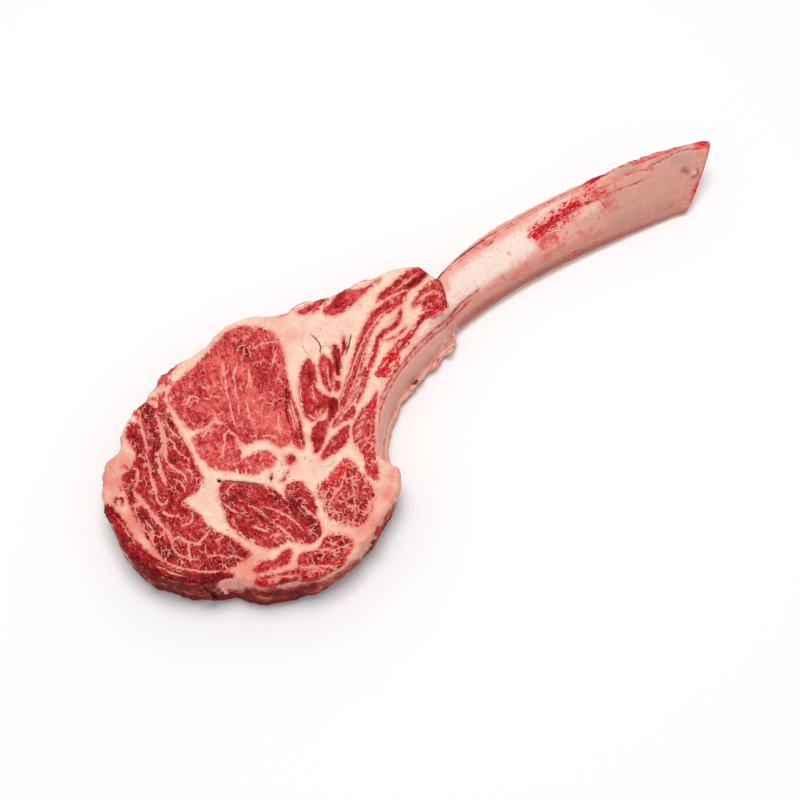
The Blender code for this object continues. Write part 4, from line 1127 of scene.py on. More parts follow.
def meat_surface(spacing, rise):
    """One closed surface: a fine grid over the cut face, the side wall in levels, and a coarser underside.

    The rim corners of the upper grid lie on the outline's inset line. Every second one goes on down to the
    underside's grid, whose cells are twice as wide.
    """
    loop = ragged_loop(PLAN_OUTLINE, 0.6, 61)
    coarse = kept_cells(loop, 2 * spacing)
    fine = np.repeat(np.repeat(coarse, 2, axis=0), 2, axis=1)
    corner = loop.min(axis=0)[:, None, None] - 2 * spacing
    x, y = corner + spacing * np.indices(np.add(fine.shape, 1))
    pairs = boundary_pairs(fine, np.arange(x.size).reshape(x.shape))
    rim = np.unique(pairs)
    first, second = np.searchsorted(rim, pairs).T
    following = np.full(len(rim), -1)
    following[first] = second
    feet, outward = spread_along(np.column_stack([x.ravel()[rim], y.ravel()[rim]]), following, loop)

    used, *places = settled(x, y, fine, rim, feet - outward * RIM_INSET, *TOP_RELAX)
    top, fields, top_maps = top_zone(*places, loop, rise)
    order = np.full(x.size, -1)
    order[used] = np.arange(len(used))
    at_rim = order[rim]
    wall, middle, wall_maps = wall_zone(feet, outward, *(values[at_rim] for values in fields))

    under_x, under_y = x[::2, ::2].copy(), y[::2, ::2].copy()
    row, column = np.divmod(rim, x.shape[1])
    even = (row % 2 == 0) & (column % 2 == 0)
    under_rim = row[even] // 2 * under_x.shape[1] + column[even] // 2
    under_used, *places = settled(under_x, under_y, coarse, under_rim, wall[even, -1, :2], *UNDER_RELAX)
    under, under_maps = under_zone(*places, np.isin(under_used, under_rim))

    under_order = np.full(under_x.size, -1)
    under_order[under_used] = len(top) + len(middle) + np.arange(len(under_used))
    ladder = np.vstack([at_rim, len(top) + np.arange(len(middle)).reshape(-1, len(rim))])
    foot = np.full(len(rim), -1)
    foot[even] = under_order[under_rim]
    faces = [grid_quads(order.reshape(x.shape), fine), *wall_faces(ladder, first, second, following, foot),
             grid_quads(under_order.reshape(under_x.shape), coarse)[:, [0, 3, 2, 1]]]
    maps = {name: np.concatenate([zone[name] for zone in (top_maps, wall_maps, under_maps)])
            for name in top_maps}
    return np.vstack([top, middle, under]), [face for part in faces for face in part.tolist()], maps


def section(turn):
    """Rounded oblong of half width and half thickness 1: cosine and sine raised to 2 over the squareness."""
    power = 2 / RIB_SQUARENESS
    return (np.sign(wave) * np.abs(wave) ** power for wave in (np.cos(turn), np.sin(turn)))


def bone_rings(rings, sides):
    """Sections carried along the rib as its stations say, closed to points at the root and the sawn end."""
    stations = np.array(RIB_STATIONS, float)
    reach = walked(stations[:, :3])
    marks = np.linspace(0.0, reach[-1], rings)
    slopes = np.gradient(stations, reach, axis=0)
    rows = np.column_stack([hermite(marks, reach, stations[:, k], slopes[:, k]) for k in range(7)])
    middle, roll, skew = rows[:, :3], np.radians(rows[:, 3])[:, None], rows[:, 6:]
    along = unit(np.gradient(middle, marks, axis=0) * [1, 1, 0])
    side = along[:, [1, 0, 2]] * [-1, 1, 0]
    up = np.array([0.0, 0.0, 1.0])
    wide = side * np.sin(roll) + up * np.cos(roll) + skew * along
    thin = up * np.sin(roll) - side * np.cos(roll)
    across, through = section(np.linspace(0.0, 2 * math.pi, sides, endpoint=False))
    half_width, half_thickness = rows[:, None, 4:5], rows[:, None, 5:6]
    body = (middle[:, None] + across[:, None] * half_width * wide[:, None]
            + through[:, None] * half_thickness * thin[:, None])
    root = [middle[0] + (body[0] - middle[0]) * share - along[0] * out for share, out in ROOT_END]
    sawn = [middle[-1] + (body[-1] - middle[-1]) * share + along[-1] * out for share, out in SAWN_END]
    poles = np.array([middle[0] - along[0] * ROOT_REACH, middle[-1] + along[-1] * SAWN_END[-1][1]])
    cut = np.concatenate([np.zeros(len(root) + rings), [1 - share for share, _ in SAWN_END]])
    return np.concatenate([root, body, sawn]), poles, cut


def on_bone(path):
    """Points of the rib's surface at each x and turn round its section."""
    sides = 360
    grid = bone_rings(200, sides)[0]
    middle = grid.mean(axis=1)
    rings = [np.abs(middle[:, 0] - x).argmin() for x, _ in path]
    return [grid[ring, -round(turn) % sides] for ring, (_, turn) in zip(rings, path)]


def grid_normals(grid):
    """Outward directions of a grid of rings: the cross product of the steps along and round it."""
    around = np.roll(grid, -1, axis=1) - np.roll(grid, 1, axis=1)
    normal = unit(np.cross(around, np.gradient(grid, axis=0)))
    outward = grid - grid.mean(axis=1, keepdims=True)
    return normal * np.sign((normal * outward).sum(axis=2).mean())


def tube_faces(count, sides, turned=False):
    """Quads between a tube's rings, and fans to the two poles that come after its rings in the list."""
    this, following = np.arange(sides), np.roll(np.arange(sides), -1)
    row = np.arange(count - 1)[:, None] * sides
    quads = np.stack([row + this, row + sides + this, row + sides + following, row + following], -1)
    quads = quads.reshape(-1, 4)
    last, pole = (count - 1) * sides, np.full(sides, count * sides)
    fans = np.vstack([np.column_stack([this, following, pole]),
                      np.column_stack([last + following, last + this, pole + 1])])
    if turned:
        quads, fans = quads[:, [0, 3, 2, 1]], fans[:, [1, 0, 2]]
    return quads.tolist() + fans.tolist()


def bone_relief(flat, up, facing, seen, blood, cut):
    """How far each corner of the rib moves out: lumps, knobs and rough blood, less the lines sunk in.

    The strip along the upper edge and the sawn end are lumpier than the rest.
    """
    seen_x, seen_y = seen
    lift = lumps(flat, (0.28, 13.0, 41), (0.1, 4.0, 42), (0.05, 1.7, 43)) - 0.25
    for width, depth, points in BONE_LINES:
        line = smooth_line(points, 2.0)
        near = within(seen_x, seen_y, line, 4.0)
        distance = near_line(seen_x[near], seen_y[near], line)[0]
        groove = np.exp(-((distance / width) ** 2)) - 0.5 * np.exp(-((distance - 1.8) ** 2))
        lift[near] -= facing[near] * depth * groove
    for x, y, reach, height in BONE_KNOBS:
        lift += facing * height * np.exp(-(((seen_x - x) ** 2 + (seen_y - y) ** 2) / reach**2))
    lift += blood * lumps(flat, (0.45, 2.4, 48), (0.25, 1.3, 49))
    lift += smooth_step(up, 0.55, 0.9) * lumps(flat, (0.3, 5.0, 50), (0.2, 2.2, 51))
    return lift + 0.35 * (cut > 0) * soft_noise(flat, 2.2, 44)


def bone_surface(rings, sides):
    """The rib as a grid of rings with fine relief along its normals, and its tints as the camera sees it."""
    grid, poles, cut = bone_rings(rings, sides)
    normals = grid_normals(grid)
    flat, facets = grid.reshape(-1, 3), normals.reshape(-1, 3)
    facing = smooth_step((facets * TO_CAMERA).sum(axis=1), -0.05, 0.3)
    seen = seen_on(flat, BONE_PLANE)
    cut = np.repeat(cut, sides)
    tints = {tint: soft_marks(*seen, marks) * facing for tint, marks in BONE_TINTS.items()}
    lift = bone_relief(flat, facets[:, 2], facing, seen, tints["blood"], cut)
    for tint, least, amount, size, seed in BACK_TINTS:
        tints[tint] += (1 - facing) * np.clip(least + amount * soft_noise(flat, size, seed), 0, 1)
    lines = nearest_marks(*seen, BONE_LINES)
    lines[:, 2] *= facing
    maps = {
        "tint_map": np.column_stack([tints["cream"], tints["rose"], tints["tan"]]),
        # Grey, blood and the painted shade
        "spot_map": np.column_stack([tints["grey"], tints["blood"], tints["painted_shade"]]),
        "cut_map": np.column_stack([cut, cut, cut]),
        "line_map": lines,
    }
    maps = {label: np.vstack([values, values[:sides].mean(axis=0), values[-sides:].mean(axis=0)])
            for label, values in maps.items()}
    moved = grid + normals * lift.reshape(grid.shape[:2])[..., None]
    return np.vstack([moved.reshape(-1, 3), poles]), tube_faces(len(grid), sides, turned=True), maps


def strand(points, half_width, half_thickness, rough, seed):
    """Closed lumpy ribbon along a path: an oval section that swells and thins, pushed about by soft noise."""
    path = smooth_line(points, STRAND_STEP)
    count = len(path)
    along = unit(np.gradient(path, axis=0))
    side = unit(np.cross(along, [0.0, 0.0, 1.0]) + 1e-6)
    up = np.cross(side, along)
    share = np.linspace(0.0, 1.0, count + 2)[1:-1]
    taper = np.sqrt(np.sin(math.pi * share)) * (1 + 0.35 * soft_noise(path[:, :2], 3.0, seed))
    turn = np.linspace(0.0, 2 * math.pi, STRAND_SIDES, endpoint=False)
    ring = (np.cos(turn)[None, :, None] * side[:, None] * half_width
            + np.sin(turn)[None, :, None] * up[:, None] * half_thickness)
    body = (path[:, None] + ring * taper[:, None, None]).reshape(-1, 3)
    push = rough * lumps(body, (1.0, 2.2, seed + 1), (0.5, 1.1, seed + 2))
    body += push[:, None] * ring.reshape(-1, 3)
    poles = np.vstack([path[0] - along[0] * 0.2, path[-1] + along[-1] * 0.2])
    return np.vstack([body, poles]), tube_faces(count, STRAND_SIDES)


def strands(table, rough):
    """All the strands of a table in one mesh, with each one's tint in a map."""
    points, faces, tints = [], [], []
    for number, (tint, half_width, half_thickness, path) in enumerate(table):
        body, quads = strand(path, half_width, half_thickness, rough, 70 + 3 * number)
        faces += [[corner + len(tints) for corner in quad] for quad in quads]
        points.append(body)
        tints += [SCRAP_TINTS[tint]] * len(body)
    return np.concatenate(points), faces, {"tint_map": tints}


class Wiring:
    """Short ways to add nodes to one tree and join them: put gives the node, the others its main output."""

    def __init__(self, tree):
        self.tree = tree

    def feed(self, socket, value):
        """Joins the socket to a value that is a socket too, or sets it to a plain one."""
        if isinstance(value, bpy.types.NodeSocket):
            self.tree.links.new(value, socket)
        elif socket.type == "RGBA":
            socket.default_value = (*value, 1.0)
        else:
            socket.default_value = value

    def put(self, kind, inputs=None, **settings):
        made = self.tree.nodes.new(kind)
        for name, value in settings.items():
            setattr(made, name, value)
        for socket, value in (inputs or {}).items():
            self.feed(made.inputs[socket], value)
        return made

    def math(self, operation, *values, clamp=False):
        made = self.put("ShaderNodeMath", operation=operation, use_clamp=clamp)
        for socket, value in zip(made.inputs, values):
            self.feed(socket, value)
        return made.outputs[0]

    def add(self, first, *others, clamp=False):
        for value in others:
            first = self.math("ADD", first, value, clamp=clamp)
        return first

    def less(self, first, second):
        return self.math("SUBTRACT", first, second)

    def times(self, first, second):
        return self.math("MULTIPLY", first, second)

    def most(self, first, *others):
        for value in others:
            first = self.math("MAXIMUM", first, value)
        return first

    def scaled(self, value, factor, offset=0.0):
        return self.math("MULTIPLY_ADD", value, factor, offset)

    def swing(self, noise, size):
        """Noise round a half, made to swing round zero by the size."""
        return self.scaled(noise, 2 * size, -size)

    def step(self, value, low, high, out_low=0.0, out_high=1.0):
        inputs = {0: value, 1: low, 2: high, 3: out_low, 4: out_high}
        return self.put("ShaderNodeMapRange", inputs, interpolation_type="SMOOTHSTEP").outputs[0]

    def mix(self, share, first, second):
        return self.put("ShaderNodeMix", {0: share, 6: first, 7: second}, data_type="RGBA").outputs[2]

    def noise(self, place, scale, detail=2.0, roughness=0.5, distortion=0.0):
        inputs = {"Vector": place, "Scale": scale, "Detail": detail, "Roughness": roughness,
                  "Distortion": distortion}
        return self.put("ShaderNodeTexNoise", inputs).outputs["Fac"]

    def vector(self, operation, first, second):
        """Two vectors taken together, or a vector and a plain factor to scale it by."""
        inputs = {0: first, ("Scale" if operation == "SCALE" else 1): second}
        return self.put("ShaderNodeVectorMath", inputs, operation=operation).outputs[0]

    def bent(self, place, scale, amount):
        """The place pushed about by coloured noise."""
        noise = self.put("ShaderNodeTexNoise", {"Vector": place, "Scale": scale, "Detail": 2.0})
        centred = self.vector("SUBTRACT", noise.outputs["Color"], (0.5, 0.5, 0.5))
        return self.vector("ADD", place, self.vector("SCALE", centred, 2 * amount))

    def cells(self, place, scale, feature="DISTANCE_TO_EDGE"):
        inputs = {"Vector": place, "Scale": scale}
        return self.put("ShaderNodeTexVoronoi", inputs, feature=feature).outputs["Distance"]

    def stretched(self, place, x, y, z):
        return self.put("ShaderNodeMapping", {"Vector": place, "Scale": (x, y, z)}).outputs[0]

    def attribute(self, name):
        return self.put("ShaderNodeAttribute", attribute_name=name).outputs["Vector"]

    def split(self, vector):
        return tuple(self.put("ShaderNodeSeparateXYZ", {0: vector}).outputs)

    def join(self, x, y):
        return self.put("ShaderNodeCombineXYZ", {0: x, 1: y}).outputs[0]

    def place_mm(self):
        return self.vector("SCALE", self.put("ShaderNodeTexCoord").outputs["Object"], 1 / MM)

    def effect(self, name, place, **inputs):
        """The shared node group of that name, built when it is first asked for, at the place."""
        made = self.put("ShaderNodeGroup", node_tree=bpy.data.node_groups.get(name) or EFFECTS[name](name))
        for socket, value in {"Place": place, **inputs}.items():
            self.feed(made.inputs[socket], value)
        return made.outputs[0]


def new_group(name, output, **numbers):
    """Empty node group with a place and named numbers going in, and one named number coming out."""
    tree = bpy.data.node_groups.new(name, "ShaderNodeTree")
    tree.interface.new_socket("Place", in_out="INPUT", socket_type="NodeSocketVector")
    for label, default in numbers.items():
        kind = "NodeSocketVector" if default is None else "NodeSocketFloat"
        socket = tree.interface.new_socket(label, in_out="INPUT", socket_type=kind)
        if default is not None:
            socket.default_value = default
    tree.interface.new_socket(output, in_out="OUTPUT", socket_type="NodeSocketFloat")
    wire = Wiring(tree)
    given = wire.put("NodeGroupInput").outputs
    return tree, wire, given, given["Place"], wire.put("NodeGroupOutput").inputs[0]


def thin_marks_group(name):
    """Mask of thin marks from their map of side, distance and half width, with a wavering edge."""
    tree, wire, given, place, out = new_group(name, "Mask", Map=None, Waver=0.3, Widen=1.0, Softness=0.2)
    side, far, half = wire.split(given["Map"])
    slow, quick = wire.noise(place, 0.45, 2.0), wire.noise(place, 1.3, 2.0)
    swell = wire.noise(place, 0.45, 2.0, 0.6, 0.4)
    sway = wire.times(wire.add(wire.swing(slow, 1.2), wire.swing(quick, 0.4)), given["Waver"])
    offset = wire.math("ABSOLUTE", wire.add(side, sway))
    reach = wire.times(half, wire.times(given["Widen"], wire.scaled(swell, 3.2, -0.5)))
    drawn = wire.step(wire.math("DIVIDE", wire.less(offset, reach), given["Softness"]), 1.0, -1.0)
    close = wire.step(wire.less(far, half), 1.6, 1.1)
    real = wire.step(half, 0.02, 0.1)
    wire.feed(out, wire.times(wire.times(drawn, close), real))
    return tree


def twigs_group(name):
    """Branching pale threads: borders of random cells, bent twice, as wide as a slower noise says."""
    tree, wire, given, place, out = new_group(name, "Mask", Width=0.1, Amount=1.0)
    border = wire.cells(wire.bent(wire.bent(place, 0.8, 0.5), 2.6, 0.16), 1.0)
    low = wire.scaled(given["Amount"], -0.11, 0.6)
    share = wire.step(wire.less(wire.noise(place, 0.75, 2.0), low), 0.0, 0.24)
    wire.feed(out, wire.step(wire.less(wire.times(given["Width"], share), border), -0.02, 0.03))
    return tree


def creases_group(name):
    """Thin folds where a bent noise passes its middle value, between 0 and 1."""
    tree, wire, given, place, out = new_group(name, "Mask", Scale=0.2, Width=0.03)
    value = wire.noise(place, given["Scale"], 3.0, 0.55, 0.8)
    away = wire.math("ABSOLUTE", wire.less(value, 0.5))
    wire.feed(out, wire.step(wire.math("DIVIDE", away, given["Width"]), 1.0, 0.1))
    return tree


def mottle_group(name):
    """Uneven tone from two sizes of noise, spread out from its middle by the contrast."""
    tree, wire, given, place, out = new_group(name, "Value", Scale=1.0, Contrast=1.0)
    small = wire.noise(place, given["Scale"], 3.0, 0.6)
    large = wire.noise(place, wire.times(given["Scale"], 0.3), 2.0)
    both = wire.add(wire.scaled(small, 0.65), wire.scaled(large, 0.35, -0.5))
    wire.feed(out, wire.math("MULTIPLY_ADD", both, given["Contrast"], 0.5, clamp=True))
    return tree


EFFECTS = {
    "Thin marks": thin_marks_group,
    "Twigs": twigs_group,
    "Creases": creases_group,
    "Mottle": mottle_group,
}


def new_material(name):
    """New material with its wiring, its main shader and places in millimetres."""
    made = bpy.data.materials.new(name)
    made.use_nodes = True
    wire = Wiring(made.node_tree)
    return made, wire, made.node_tree.nodes["Principled BSDF"], wire.place_mm()


def set_surface(wire, shader, colour, rough, gloss, relief=None, strength=0.0, depth_mm=0.0):
    """Joins colour and roughness to the shader, sets its gloss, and adds a bump where there is relief."""
    wire.feed(shader.inputs["Base Color"], colour)
    wire.feed(shader.inputs["Roughness"], rough)
    shader.inputs["Specular IOR Level"].default_value = gloss
    if relief is not None:
        bump = wire.put("ShaderNodeBump", {"Strength": strength, "Distance": depth_mm * MM, "Height": relief})
        wire.feed(shader.inputs["Normal"], bump.outputs[0])


def lean_colour(wire, look, place, value, threads):
    """Lean from dark to light by its value, with painted shade in its crevices, painted highlights as small
    bright glints, and threads of fat.
    """
    # Painted shade: the lean is darker along its crevices
    shaded_crevices = wire.effect("Creases", place, Scale=0.62, Width=0.045)
    # Painted highlights: small bright glints of wet lean, in the marbling colour
    painted_glints = wire.step(wire.noise(place, 0.95, 2.0, 0.6), 0.64, 0.72)
    value = wire.less(value, wire.scaled(shaded_crevices, 0.3))
    darker = wire.mix(wire.step(value, 0.0, 0.5), look.lean_dark, look.lean)
    lean = wire.mix(wire.step(value, 0.5, 1.05), darker, look.lean_light)
    lean = wire.mix(wire.scaled(painted_glints, 0.45), lean, look.marbling)
    return wire.mix(wire.scaled(threads, 0.9), lean, look.marbling)


def fat_colour(wire, look, place, blush, near_lean):
    """Fat from cream to pink, pinker by the lean, with folds and fine red vessels, and the folds alone."""
    cloud = wire.noise(place, 0.11, 4.0, 0.6)
    pinkness = wire.add(blush, wire.swing(cloud, 0.6), clamp=True)
    colour = wire.mix(pinkness, look.fat_cream, look.fat_pink)
    folds = wire.effect("Creases", place, Scale=0.13, Width=0.05)
    small = wire.effect("Creases", place, Scale=0.5, Width=0.05)
    crease = wire.most(wire.scaled(folds, 0.22), wire.scaled(small, 0.03))
    colour = wire.mix(crease, colour, look.fat_crease)
    colour = wire.mix(wire.scaled(near_lean, 0.65), colour, look.fat_pink)
    sparse = wire.vector("SCALE", place, 0.22)
    vessels = wire.effect("Twigs", sparse, Width=0.06, Amount=wire.scaled(blush, 1.3))
    return wire.mix(wire.scaled(vessels, 0.5), colour, look.lean_light), crease


def wall_colour(wire, look, place, edge, height):
    """Outer wall: dull fat above and dark lean below, in ragged patches with brown membrane between them, and
    painted shade that darkens it towards its foot.
    """
    stretched = wire.stretched(place, 1.0, 1.0, 0.8)
    broad = wire.noise(stretched, 0.1, 4.0, 0.65)
    fine = wire.noise(stretched, 0.42, 4.0, 0.65, 0.4)
    ragged = wire.add(edge, wire.swing(broad, 4.4), wire.swing(fine, 3.0))
    upper = wire.mix(wire.step(fine, 0.35, 0.65), look.wall_fat, look.wall_pale)
    colour = wire.mix(wire.step(ragged, 2.6, -0.8), upper, look.wall_brown)
    grain = wire.noise(place, 0.9, 3.0, 0.7)
    deep = wire.mix(wire.step(grain, 0.4, 0.75, 0.0, 0.55), look.wall_lean, look.wall_brown)
    colour = wire.mix(wire.step(ragged, 0.2, -2.6), colour, deep)
    # Painted shade: the wall darkens towards its foot, up to 0.8 of the way to the dark lean
    return wire.mix(wire.step(height, 0.42, 0.06, 0.0, 0.8), colour, deep)


def marbling_threads(wire, place, along, across, marbling):
    """Long net of threads along the fibres, and all threads: the net, short flecks and even branches."""
    fibres = wire.join(wire.scaled(along, 0.19), wire.scaled(across, 0.38))
    short = wire.join(wire.scaled(along, 0.42), wire.scaled(across, 0.6, 7.0))
    net = wire.effect("Twigs", fibres, Width=0.13, Amount=marbling)
    flecks = wire.effect("Twigs", short, Width=0.15, Amount=marbling)
    even, thick = wire.vector("SCALE", place, 0.26), wire.scaled(marbling, 0.085, 0.01)
    branches = wire.effect("Twigs", even, Width=thick, Amount=wire.scaled(marbling, 1.3))
    return net, wire.most(wire.scaled(net, 0.5), wire.scaled(flecks, 0.3), wire.scaled(branches, 0.9))


def meat_material(look):
    """Lean and fat of the cut faces and walls, from the piece's maps and broken up by noise."""
    made, wire, shader, place = new_material("Raw meat")
    edge, tone, marbling = wire.split(wire.attribute("lean_map"))
    along, across, side = wire.split(wire.attribute("fibre_map"))
    blush, blood, height = wire.split(wire.attribute("stain_map"))
    grain = wire.noise(place, 1.3, 3.0, 0.6)
    ripple = wire.noise(place, 0.38, 3.0, 0.6)

    net, threads = marbling_threads(wire, place, along, across, marbling)
    fingers = wire.times(net, wire.step(edge, -3.4, -0.6, 0.0, 2.4))
    ragged = wire.add(edge, wire.swing(grain, 0.6), wire.scaled(ripple, 4.4, -2.5), fingers)
    vein_map = wire.attribute("vein_map")
    vein = wire.effect("Thin marks", place, Map=vein_map, Waver=1.1, Widen=0.95, Softness=0.22)
    halo = wire.effect("Thin marks", place, Map=vein_map, Waver=1.1, Widen=1.3, Softness=0.9)
    fat = wire.most(wire.step(ragged, -0.5, 0.5), wire.scaled(vein, 0.9))

    mottle = wire.effect("Mottle", place, Scale=0.5, Contrast=2.7)
    bundles = wire.noise(wire.join(wire.scaled(along, 0.16), wire.scaled(across, 0.5)), 1.0, 3.0, 0.6, 0.5)
    value = wire.add(wire.scaled(tone, 0.42), wire.scaled(mottle, 0.62, 0.12), wire.swing(bundles, 0.55),
                     wire.swing(wire.noise(place, 0.12, 2.0), 0.45))
    lean = lean_colour(wire, look, place, value, threads)
    fringe = wire.most(wire.step(ragged, -1.3, -0.1), halo)
    lean = wire.mix(wire.scaled(fringe, 0.5), lean, look.lean_light)
    soft_fat, crease = fat_colour(wire, look, place, blush, wire.step(ragged, 2.4, 0.1))
    colour = wire.mix(fat, lean, soft_fat)

    wet = wire.step(wire.add(blood, wire.swing(ripple, 1.1), wire.swing(grain, 0.5)), 0.35, 0.6)
    pool = wire.mix(wire.step(wire.noise(place, 0.55, 3.0), 0.52, 0.64), look.blood, look.blood_pale)
    colour = wire.mix(wire.scaled(wet, 0.85), colour, pool)
    colour = wire.mix(side, colour, wall_colour(wire, look, place, edge, height))
    # Painted shade in the open slits, darker the wider they are
    slit_map = wire.attribute("slit_map")
    slit_shade = wire.effect("Thin marks", place, Map=slit_map, Waver=0.25, Widen=0.9, Softness=0.25)
    deep = wire.step(wire.split(slit_map)[2], 0.15, 0.55, 0.35, 0.9)
    colour = wire.mix(wire.times(slit_shade, deep), colour, look.slit_shade)

    rough = wire.add(wire.scaled(fat, 0.1, 0.3), wire.swing(grain, 0.1), wire.scaled(side, 0.35))
    rough = wire.less(rough, wire.scaled(wet, 0.16))
    lumpy = wire.add(wire.scaled(mottle, 0.8), wire.scaled(grain, 0.6))
    set_surface(wire, shader, colour, rough, 0.04, wire.less(lumpy, wire.times(crease, fat)), 0.8, 0.55)
    return made


def bone_material(look):
    """Scraped bone: cream, salmon and tan areas, rosy smears, red lines and blood, with a porous sawn end."""
    made, wire, shader, place = new_material("Scraped bone")
    cream, rose, tan = wire.split(wire.attribute("tint_map"))
    grey, blood, painted_shade = wire.split(wire.attribute("spot_map"))
    cut = wire.split(wire.attribute("cut_map"))[0]
    cloud = wire.noise(place, 0.13, 4.0, 0.65)
    patch = wire.noise(place, 0.38, 3.0, 0.65, 0.6)
    grain = wire.noise(place, 0.9, 4.0, 0.65)
    streaks = wire.noise(wire.stretched(place, 0.14, 0.9, 0.9), 0.6, 3.0)
    shift = wire.add(wire.swing(cloud, 0.5), wire.swing(patch, 0.5), wire.swing(streaks, 0.3))
    colour = wire.mix(wire.add(tan, wire.scaled(shift, 0.5), clamp=True), look.salmon, look.tan)
    colour = wire.mix(wire.step(wire.add(cream, wire.scaled(shift, 1.2)), 0.1, 0.9), colour, look.cream)
    # Painted shade along the lower edge and round the knob, in its own darker colour
    colour = wire.mix(wire.add(painted_shade, wire.scaled(shift, 0.4), clamp=True), colour, look.painted_shade)
    colour = wire.mix(wire.step(wire.add(rose, wire.scaled(shift, 1.1)), 0.25, 1.1), colour, look.rose)
    colour = wire.mix(grey, colour, look.grey)

    smears = wire.noise(wire.stretched(place, 0.6, 1.3, 1.3), 0.5, 3.0, 0.6, 1.0)
    soaked = wire.add(blood, wire.swing(smears, 2.2), wire.swing(patch, 0.8))
    near_blood = wire.step(blood, 0.0, 0.25)
    wet = wire.times(wire.step(soaked, 0.46, 0.68), near_blood)
    colour = wire.mix(wire.times(wire.step(soaked, 0.0, 0.6, 0.0, 0.6), near_blood), colour, look.rose)
    colour = wire.mix(wire.scaled(wet, 0.95), colour, look.blood)
    threads = wire.effect("Creases", place, Scale=0.8, Width=0.07)
    colour = wire.mix(wire.times(threads, wire.step(soaked, 0.5, 1.1)), colour, look.clot)
    line_map = wire.attribute("line_map")
    line = wire.effect("Thin marks", place, Map=line_map, Waver=0.5, Widen=0.85, Softness=0.5)
    patchy = wire.step(wire.noise(place, 0.3, 3.0), 0.36, 0.6, 0.35, 0.95)
    colour = wire.mix(wire.times(line, patchy), colour, look.line)
    pores = wire.cells(place, 1.1, "F1")
    marrow = wire.mix(wire.step(pores, 0.1, 0.5), look.marrow, look.tan)
    colour = wire.mix(wire.step(cut, 0.12, 0.3), colour, marrow)

    mottle = wire.effect("Mottle", place, Scale=0.7, Contrast=1.6)
    rough = wire.less(wire.scaled(mottle, 0.16, 0.34), wire.scaled(wet, 0.14))
    porous = wire.times(wire.step(cut, 0.1, 0.3), pores)
    relief = wire.add(wire.scaled(grain, 0.7), wire.scaled(patch, 0.7), porous)
    set_surface(wire, shader, colour, rough, 0.12, relief, 0.5, 0.4)
    return made


def scrap_material(name, look):
    """Clots, scraps of lean and shreds of fat or membrane, by the shares in their map."""
    made, wire, shader, place = new_material(name)
    dark, pale = wire.split(wire.attribute("tint_map"))[1:]
    lump = wire.noise(place, 0.5, 2.0, 0.6)
    grain = wire.noise(place, 1.4, 3.0, 0.6)
    sway = wire.add(wire.swing(lump, 0.9), wire.swing(grain, 0.5))
    clot = wire.mix(wire.step(lump, 0.54, 0.7, 0.0, 0.8), look.blood, look.blood_pale)
    colour = wire.mix(wire.step(wire.add(dark, sway), 0.3, 0.8), clot, look.lean_dark)
    flesh = wire.mix(wire.step(grain, 0.35, 0.65), look.wall_fat, look.wall_pale)
    colour = wire.mix(wire.step(wire.add(pale, sway), 0.35, 0.75), colour, flesh)
    relief = wire.add(lump, wire.scaled(grain, 0.5))
    set_surface(wire, shader, colour, wire.scaled(grain, 0.2, 0.2), 0.3, relief, 0.6, 0.4)
    return made


def floor_material(look):
    """Pale matt paper with a very faint tooth."""
    made, wire, shader, place = new_material("Pale floor")
    tooth = wire.noise(place, 0.4, 2.0)
    shade = wire.mix(wire.scaled(tooth, 0.04), look.floor_colour, (0.8, 0.8, 0.8))
    set_surface(wire, shader, shade, wire.scaled(tooth, 0.1, 0.75), 0.2)
    return made


def swatch(name, description, red, green, blue):
    """Colour property whose default is given in screen values."""
    return FloatVectorProperty(name=name, description=description, subtype="COLOR", size=3, min=0.0, max=1.0,
                               default=srgb(red, green, blue))


class MeatSettings(bpy.types.PropertyGroup):
    """Grid, relief and colours of the meat and its scraps"""
    spacing: FloatProperty(name="Grid spacing", description="Distance between corners of the cut face's grid",
                           default=0.66 * MM, min=0.4 * MM, max=4.0 * MM, precision=5, unit="LENGTH")
    rise: FloatProperty(name="Muscle rise", description="How far the muscles stand above the fat",
                        default=MUSCLE_RISE * MM, min=0.0, max=2.0 * MM, precision=5, unit="LENGTH")
    lean_dark: swatch("Dark lean", "Deepest red of the muscles", 116, 0, 10)
    lean: swatch("Lean", "Middle red of the muscles", 174, 24, 34)
    lean_light: swatch("Light lean", "Rosy red of the lightest muscle", 228, 100, 96)
    # This colour also paints the bright glints on the lean, which are painted highlights
    marbling: swatch("Marbling", "Fine threads of fat in the lean", 242, 152, 140)
    fat_cream: swatch("Cream fat", "Palest fat", 246, 211, 189)
    fat_pink: swatch("Pink fat", "Fat near the rim and the lean", 229, 129, 115)
    fat_crease: swatch("Creases", "Folds of the fat", 228, 160, 142)
    blood: swatch("Blood", "Fresh blood on the cut face", 208, 10, 32)
    blood_pale: swatch("Pale blood", "Wet lumps in the blood", 236, 120, 104)
    # Colour of the painted shade in the open slits
    slit_shade: swatch("Slit", "Depth of the open seams", 84, 8, 12)
    wall_fat: swatch("Wall fat", "Dull fat of the outer wall", 226, 152, 135)
    wall_pale: swatch("Wall paler fat", "Paler streaks of the outer wall", 236, 176, 162)
    wall_brown: swatch("Wall brown", "Brownish membrane of the outer wall", 178, 76, 64)
    wall_lean: swatch("Wall lean", "Dark lean of the outer wall", 100, 0, 8)


